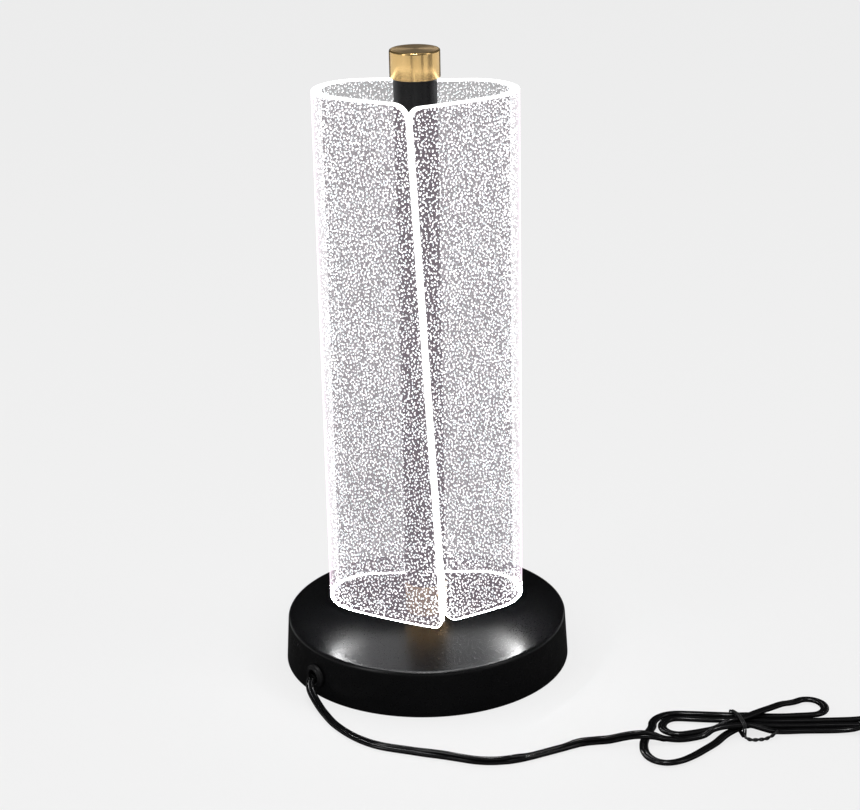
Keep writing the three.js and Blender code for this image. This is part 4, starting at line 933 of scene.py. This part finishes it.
def bubble_mesh(name, side, high, low_round, high_round, out, seed):
    """One layer of bubbles, so far out from the middle of the sheet's thickness."""
    skin = flat_panel(side, high, low_round, high_round, bubble_margin)
    bmesh.ops.translate(skin, vec=(0, out, 0), verts=skin.verts)
    bend_panel(skin, side)
    bmesh.ops.triangulate(skin, faces=skin.faces)
    holder = bpy.data.objects.new(name, mesh_of(skin, name + "_ground"))
    put_in_scene(holder)
    modifier = holder.modifiers.new("bubbles", "NODES")
    modifier.node_group = bubble_nodes(name, seed)
    drawn = holder.evaluated_get(bpy.context.evaluated_depsgraph_get())
    mesh = bpy.data.meshes.new_from_object(drawn)
    bpy.data.objects.remove(holder)
    return mesh


lit_bubble = glowing("lit_bubble", (1.0, 0.7, 0.68), (0.5, 0.95, 1.0), strength=0.46)
bright_underside = glowing("bright_underside", (1.0, 0.9, 0.93), (0.88, 0.97, 1.0), strength=8.5)
for name, sizes in (("left", left_sizes), ("right", right_sizes)):
    for number, (out, seed) in enumerate(bubble_layers, 1):
        label = f"bubbles_{name}_{number}"
        mesh = bubble_mesh(label, *sizes, out, seed + (right_seed_shift if name == "right" else 0))
        mesh.materials.clear()
        for face in mesh.polygons:
            face.material_index = 1 if face.normal.z < bubble_under_from else 0
        bubbles = keep(mesh, label, lit_bubble, bright_underside)


# Cap: spun brass, closed at the top, screwed onto the end of the pipe over the post.
# Its side is polished, and its top keeps the fine rings of the spinning tool.
cap_radius = 0.0127
cap_low = 0.3168
cap_high = 0.3309
cap_edge = 0.001
cap_rim = 0.0003
cap_floor = 0.326
cap_ring_share = 0.6
cap_edge_steps = 6
cap_sides = 96
top_face_reach = 0.00005
cap_profile = [
    (stem_clear, cap_low),
    (cap_radius - cap_rim, cap_low),
    (cap_radius, cap_low + cap_rim),
    *arc(cap_radius - cap_edge, cap_high - cap_edge, cap_edge, 0, 90, cap_edge_steps),
    (cap_radius * cap_ring_share, cap_high),
    (0, cap_high),
]
cap_inside = [(0, cap_floor), (stem_clear, cap_floor), (stem_clear, cap_low)]


def spun_brass():
    """The top's brass: fine rings in its height, and gloss drawn out along them."""
    made = brass_finish("spun_brass", (0.76, 0.55, 0.3), (0.86, 0.64, 0.38), 0.4, metal=0.85)
    nodes, links = made.node_tree.nodes, made.node_tree.links
    rings = nodes.new("ShaderNodeTexWave")
    rings.wave_type = "RINGS"
    rings.rings_direction = "Z"
    rings.inputs["Scale"].default_value = 450.0
    rings.inputs["Distortion"].default_value = 0.6
    links.new(nodes["Texture Coordinate"].outputs["Object"], rings.inputs["Vector"])
    links.new(rings.outputs["Fac"], nodes["Bump"].inputs["Height"])
    nodes["Bump"].inputs["Strength"].default_value = 0.3
    shader = nodes["Principled BSDF"]
    shader.inputs["Anisotropic"].default_value = 0.8
    round_the_top = nodes.new("ShaderNodeTangent")
    round_the_top.direction_type = "RADIAL"
    round_the_top.axis = "Z"
    links.new(round_the_top.outputs["Tangent"], shader.inputs["Tangent"])
    return made


brass = brass_finish("brass", (0.8, 0.53, 0.21), (0.9, 0.62, 0.28), 0.2, metal=0.9)
cap_skin = turned_skin(cap_profile + cap_inside, cap_sides)
for face in cap_skin.faces:
    face.material_index = 1 if face.calc_center_median().z > cap_high - top_face_reach else 0
cap = keep(mesh_of(cap_skin, "cap_fine"), "cap_fine", brass, spun_brass())
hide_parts("top_cap")


# Floor: a wide pale sheet. Most of its paleness is its own, so that it stays even, and the rest
# is lit, so that it keeps the lamp's shadow.
background = 0.872
lit_share = 0.12
floor_reach = 12


def seen_directly(nodes, links):
    """1 for rays from the camera, off a gloss or through glass."""
    rays = nodes.new("ShaderNodeLightPath").outputs
    first = worked_out(nodes, links, "MAXIMUM", rays["Is Camera Ray"], rays["Is Glossy Ray"])
    return worked_out(nodes, links, "MAXIMUM", first, rays["Is Transmission Ray"])


def floor_paint():
    made = bpy.data.materials.new("floor_paint")
    made.use_nodes = True
    nodes, links = made.node_tree.nodes, made.node_tree.links
    shader = nodes["Principled BSDF"]
    shader.inputs["Base Color"].default_value = (background * lit_share,) * 3 + (1,)
    shader.inputs["Roughness"].default_value = 1.0
    shader.inputs["Specular IOR Level"].default_value = 0.0
    glow = nodes.new("ShaderNodeEmission")
    glow.inputs["Color"].default_value = (background * (1 - lit_share),) * 3 + (1,)
    links.new(seen_directly(nodes, links), glow.inputs["Strength"])
    both = nodes.new("ShaderNodeAddShader")
    links.new(shader.outputs["BSDF"], both.inputs[0])
    links.new(glow.outputs["Emission"], both.inputs[1])
    links.new(both.outputs["Shader"], nodes["Material Output"].inputs["Surface"])
    return made


floor_skin = bmesh.new()
bmesh.ops.create_grid(floor_skin, x_segments=1, y_segments=1, size=floor_reach)
floor = bpy.data.objects.new("floor", mesh_of(floor_skin, "floor"))
floor.data.materials.append(floor_paint())
put_in_scene(floor)


# Light: an even pale room, two tall soft lamps beside the camera and a small one above. Black cards
# stand round the lamp where a photographer has them, so that its gloss stays dark and the brass
# gets its streaks.
room_light = 0.66
card_lift = 0.0003
world = bpy.data.worlds.new("room")
world.use_nodes = True
bpy.context.scene.world = world
room_nodes = world.node_tree.nodes
room_links = world.node_tree.links
room = room_nodes["Background"]
room.inputs["Color"].default_value = (1, 1, 1, 1)
seen = seen_directly(room_nodes, room_links)
room_links.new(mapped(room_nodes, room_links, seen, room_light, background), room.inputs["Strength"])


def dark_card(name, radius, low, high, first, last, shade):
    """A curved black card round the lamp that only gloss shows, from one compass turn to another."""
    skin = bmesh.new()
    start = math.radians(first)
    foot = [skin.verts.new((radius * math.sin(start), -radius * math.cos(start), z)) for z in (low, high)]
    edge = skin.edges.new(foot)
    bmesh.ops.spin(
        skin, geom=[*foot, edge], cent=(0, 0, 0), axis=(0, 0, 1), angle=math.radians(last - first),
        steps=48)
    card = bpy.data.objects.new(name, mesh_of(skin, name))
    card.data.materials.append(card_paint(name, shade))
    show_in_gloss_only(card)


def card_paint(name, shade):
    paint = bpy.data.materials.new(name)
    paint.use_nodes = True
    shader = paint.node_tree.nodes["Principled BSDF"]
    shader.inputs["Base Color"].default_value = (shade, shade, shade, 1)
    shader.inputs["Specular IOR Level"].default_value = 0
    return paint


def show_in_gloss_only(card):
    put_in_scene(card)
    card.visible_camera = False
    card.visible_diffuse = False
    card.visible_transmission = False
    card.visible_shadow = False


dark_card("high_card", radius=1.7, low=0.3, high=6.0, first=0, last=359.9, shade=0.05)
dark_card("back_card", radius=0.6, low=0.0, high=0.4, first=142, last=218, shade=0.02)
dark_card("front_card_1", radius=0.6, low=0.0, high=0.35, first=-18, last=-10, shade=0.25)
dark_card("front_card_2", radius=0.6, low=0.0, high=0.35, first=28, last=38, shade=0.25)
dark_card("front_card_3", radius=0.6, low=0.0, high=0.35, first=60, last=84, shade=0.35)
low_card_skin = bmesh.new()
bmesh.ops.create_circle(low_card_skin, cap_ends=True, segments=64, radius=0.42)
bmesh.ops.translate(low_card_skin, vec=(0, 0, card_lift), verts=low_card_skin.verts)
low_card = bpy.data.objects.new("low_card", mesh_of(low_card_skin, "low_card"))
low_card.data.materials.append(card_paint("low_card", shade=0.035))
show_in_gloss_only(low_card)


def soft_lamp(name, place, aim, width, height, power):
    lamp = bpy.data.lights.new(name, "AREA")
    lamp.shape = "RECTANGLE"
    lamp.size = width
    lamp.size_y = height
    lamp.energy = power
    holder = bpy.data.objects.new(name, lamp)
    holder.location = place
    holder.rotation_euler = (Vector(aim) - Vector(place)).to_track_quat("-Z", "Y").to_euler()
    put_in_scene(holder)


soft_lamp("top_lamp", (0, -0.35, 1.6), aim=(0, 0, 0), width=0.3, height=0.3, power=7.5)
soft_lamp("left_lamp", (-1.1, -0.9, 0.9), aim=(0, 0, 0.2), width=0.35, height=1.2, power=4)
soft_lamp("right_lamp", (1.2, -0.5, 1.0), aim=(0, 0, 0.2), width=0.35, height=1.2, power=3)


# Camera: at the photograph's place and angle. Its focal length is in pixels of a picture
# as wide as the photograph.
camera_place = (0, -1.04555, 0.53411)
camera_turn = 0.00389
camera_dip = 0.35778
camera_roll = -0.02051
focal_pixels = 2131.36
picture_width = 860
sensor_width = 36
lens = bpy.data.cameras.new("camera")
lens.sensor_width = sensor_width
lens.lens = focal_pixels / picture_width * sensor_width
lens.clip_start = 0.02
lens.clip_end = 60
camera = bpy.data.objects.new("camera", lens)
camera.matrix_world = (
    Matrix.Translation(camera_place)
    @ Matrix.Rotation(-camera_turn, 4, "Z")
    @ Matrix.Rotation(math.pi / 2 - camera_dip, 4, "X")
    @ Matrix.Rotation(camera_roll, 4, "Z"))
put_in_scene(camera)
bpy.context.scene.camera = camera
bpy.context.scene.view_settings.view_transform = "Standard"
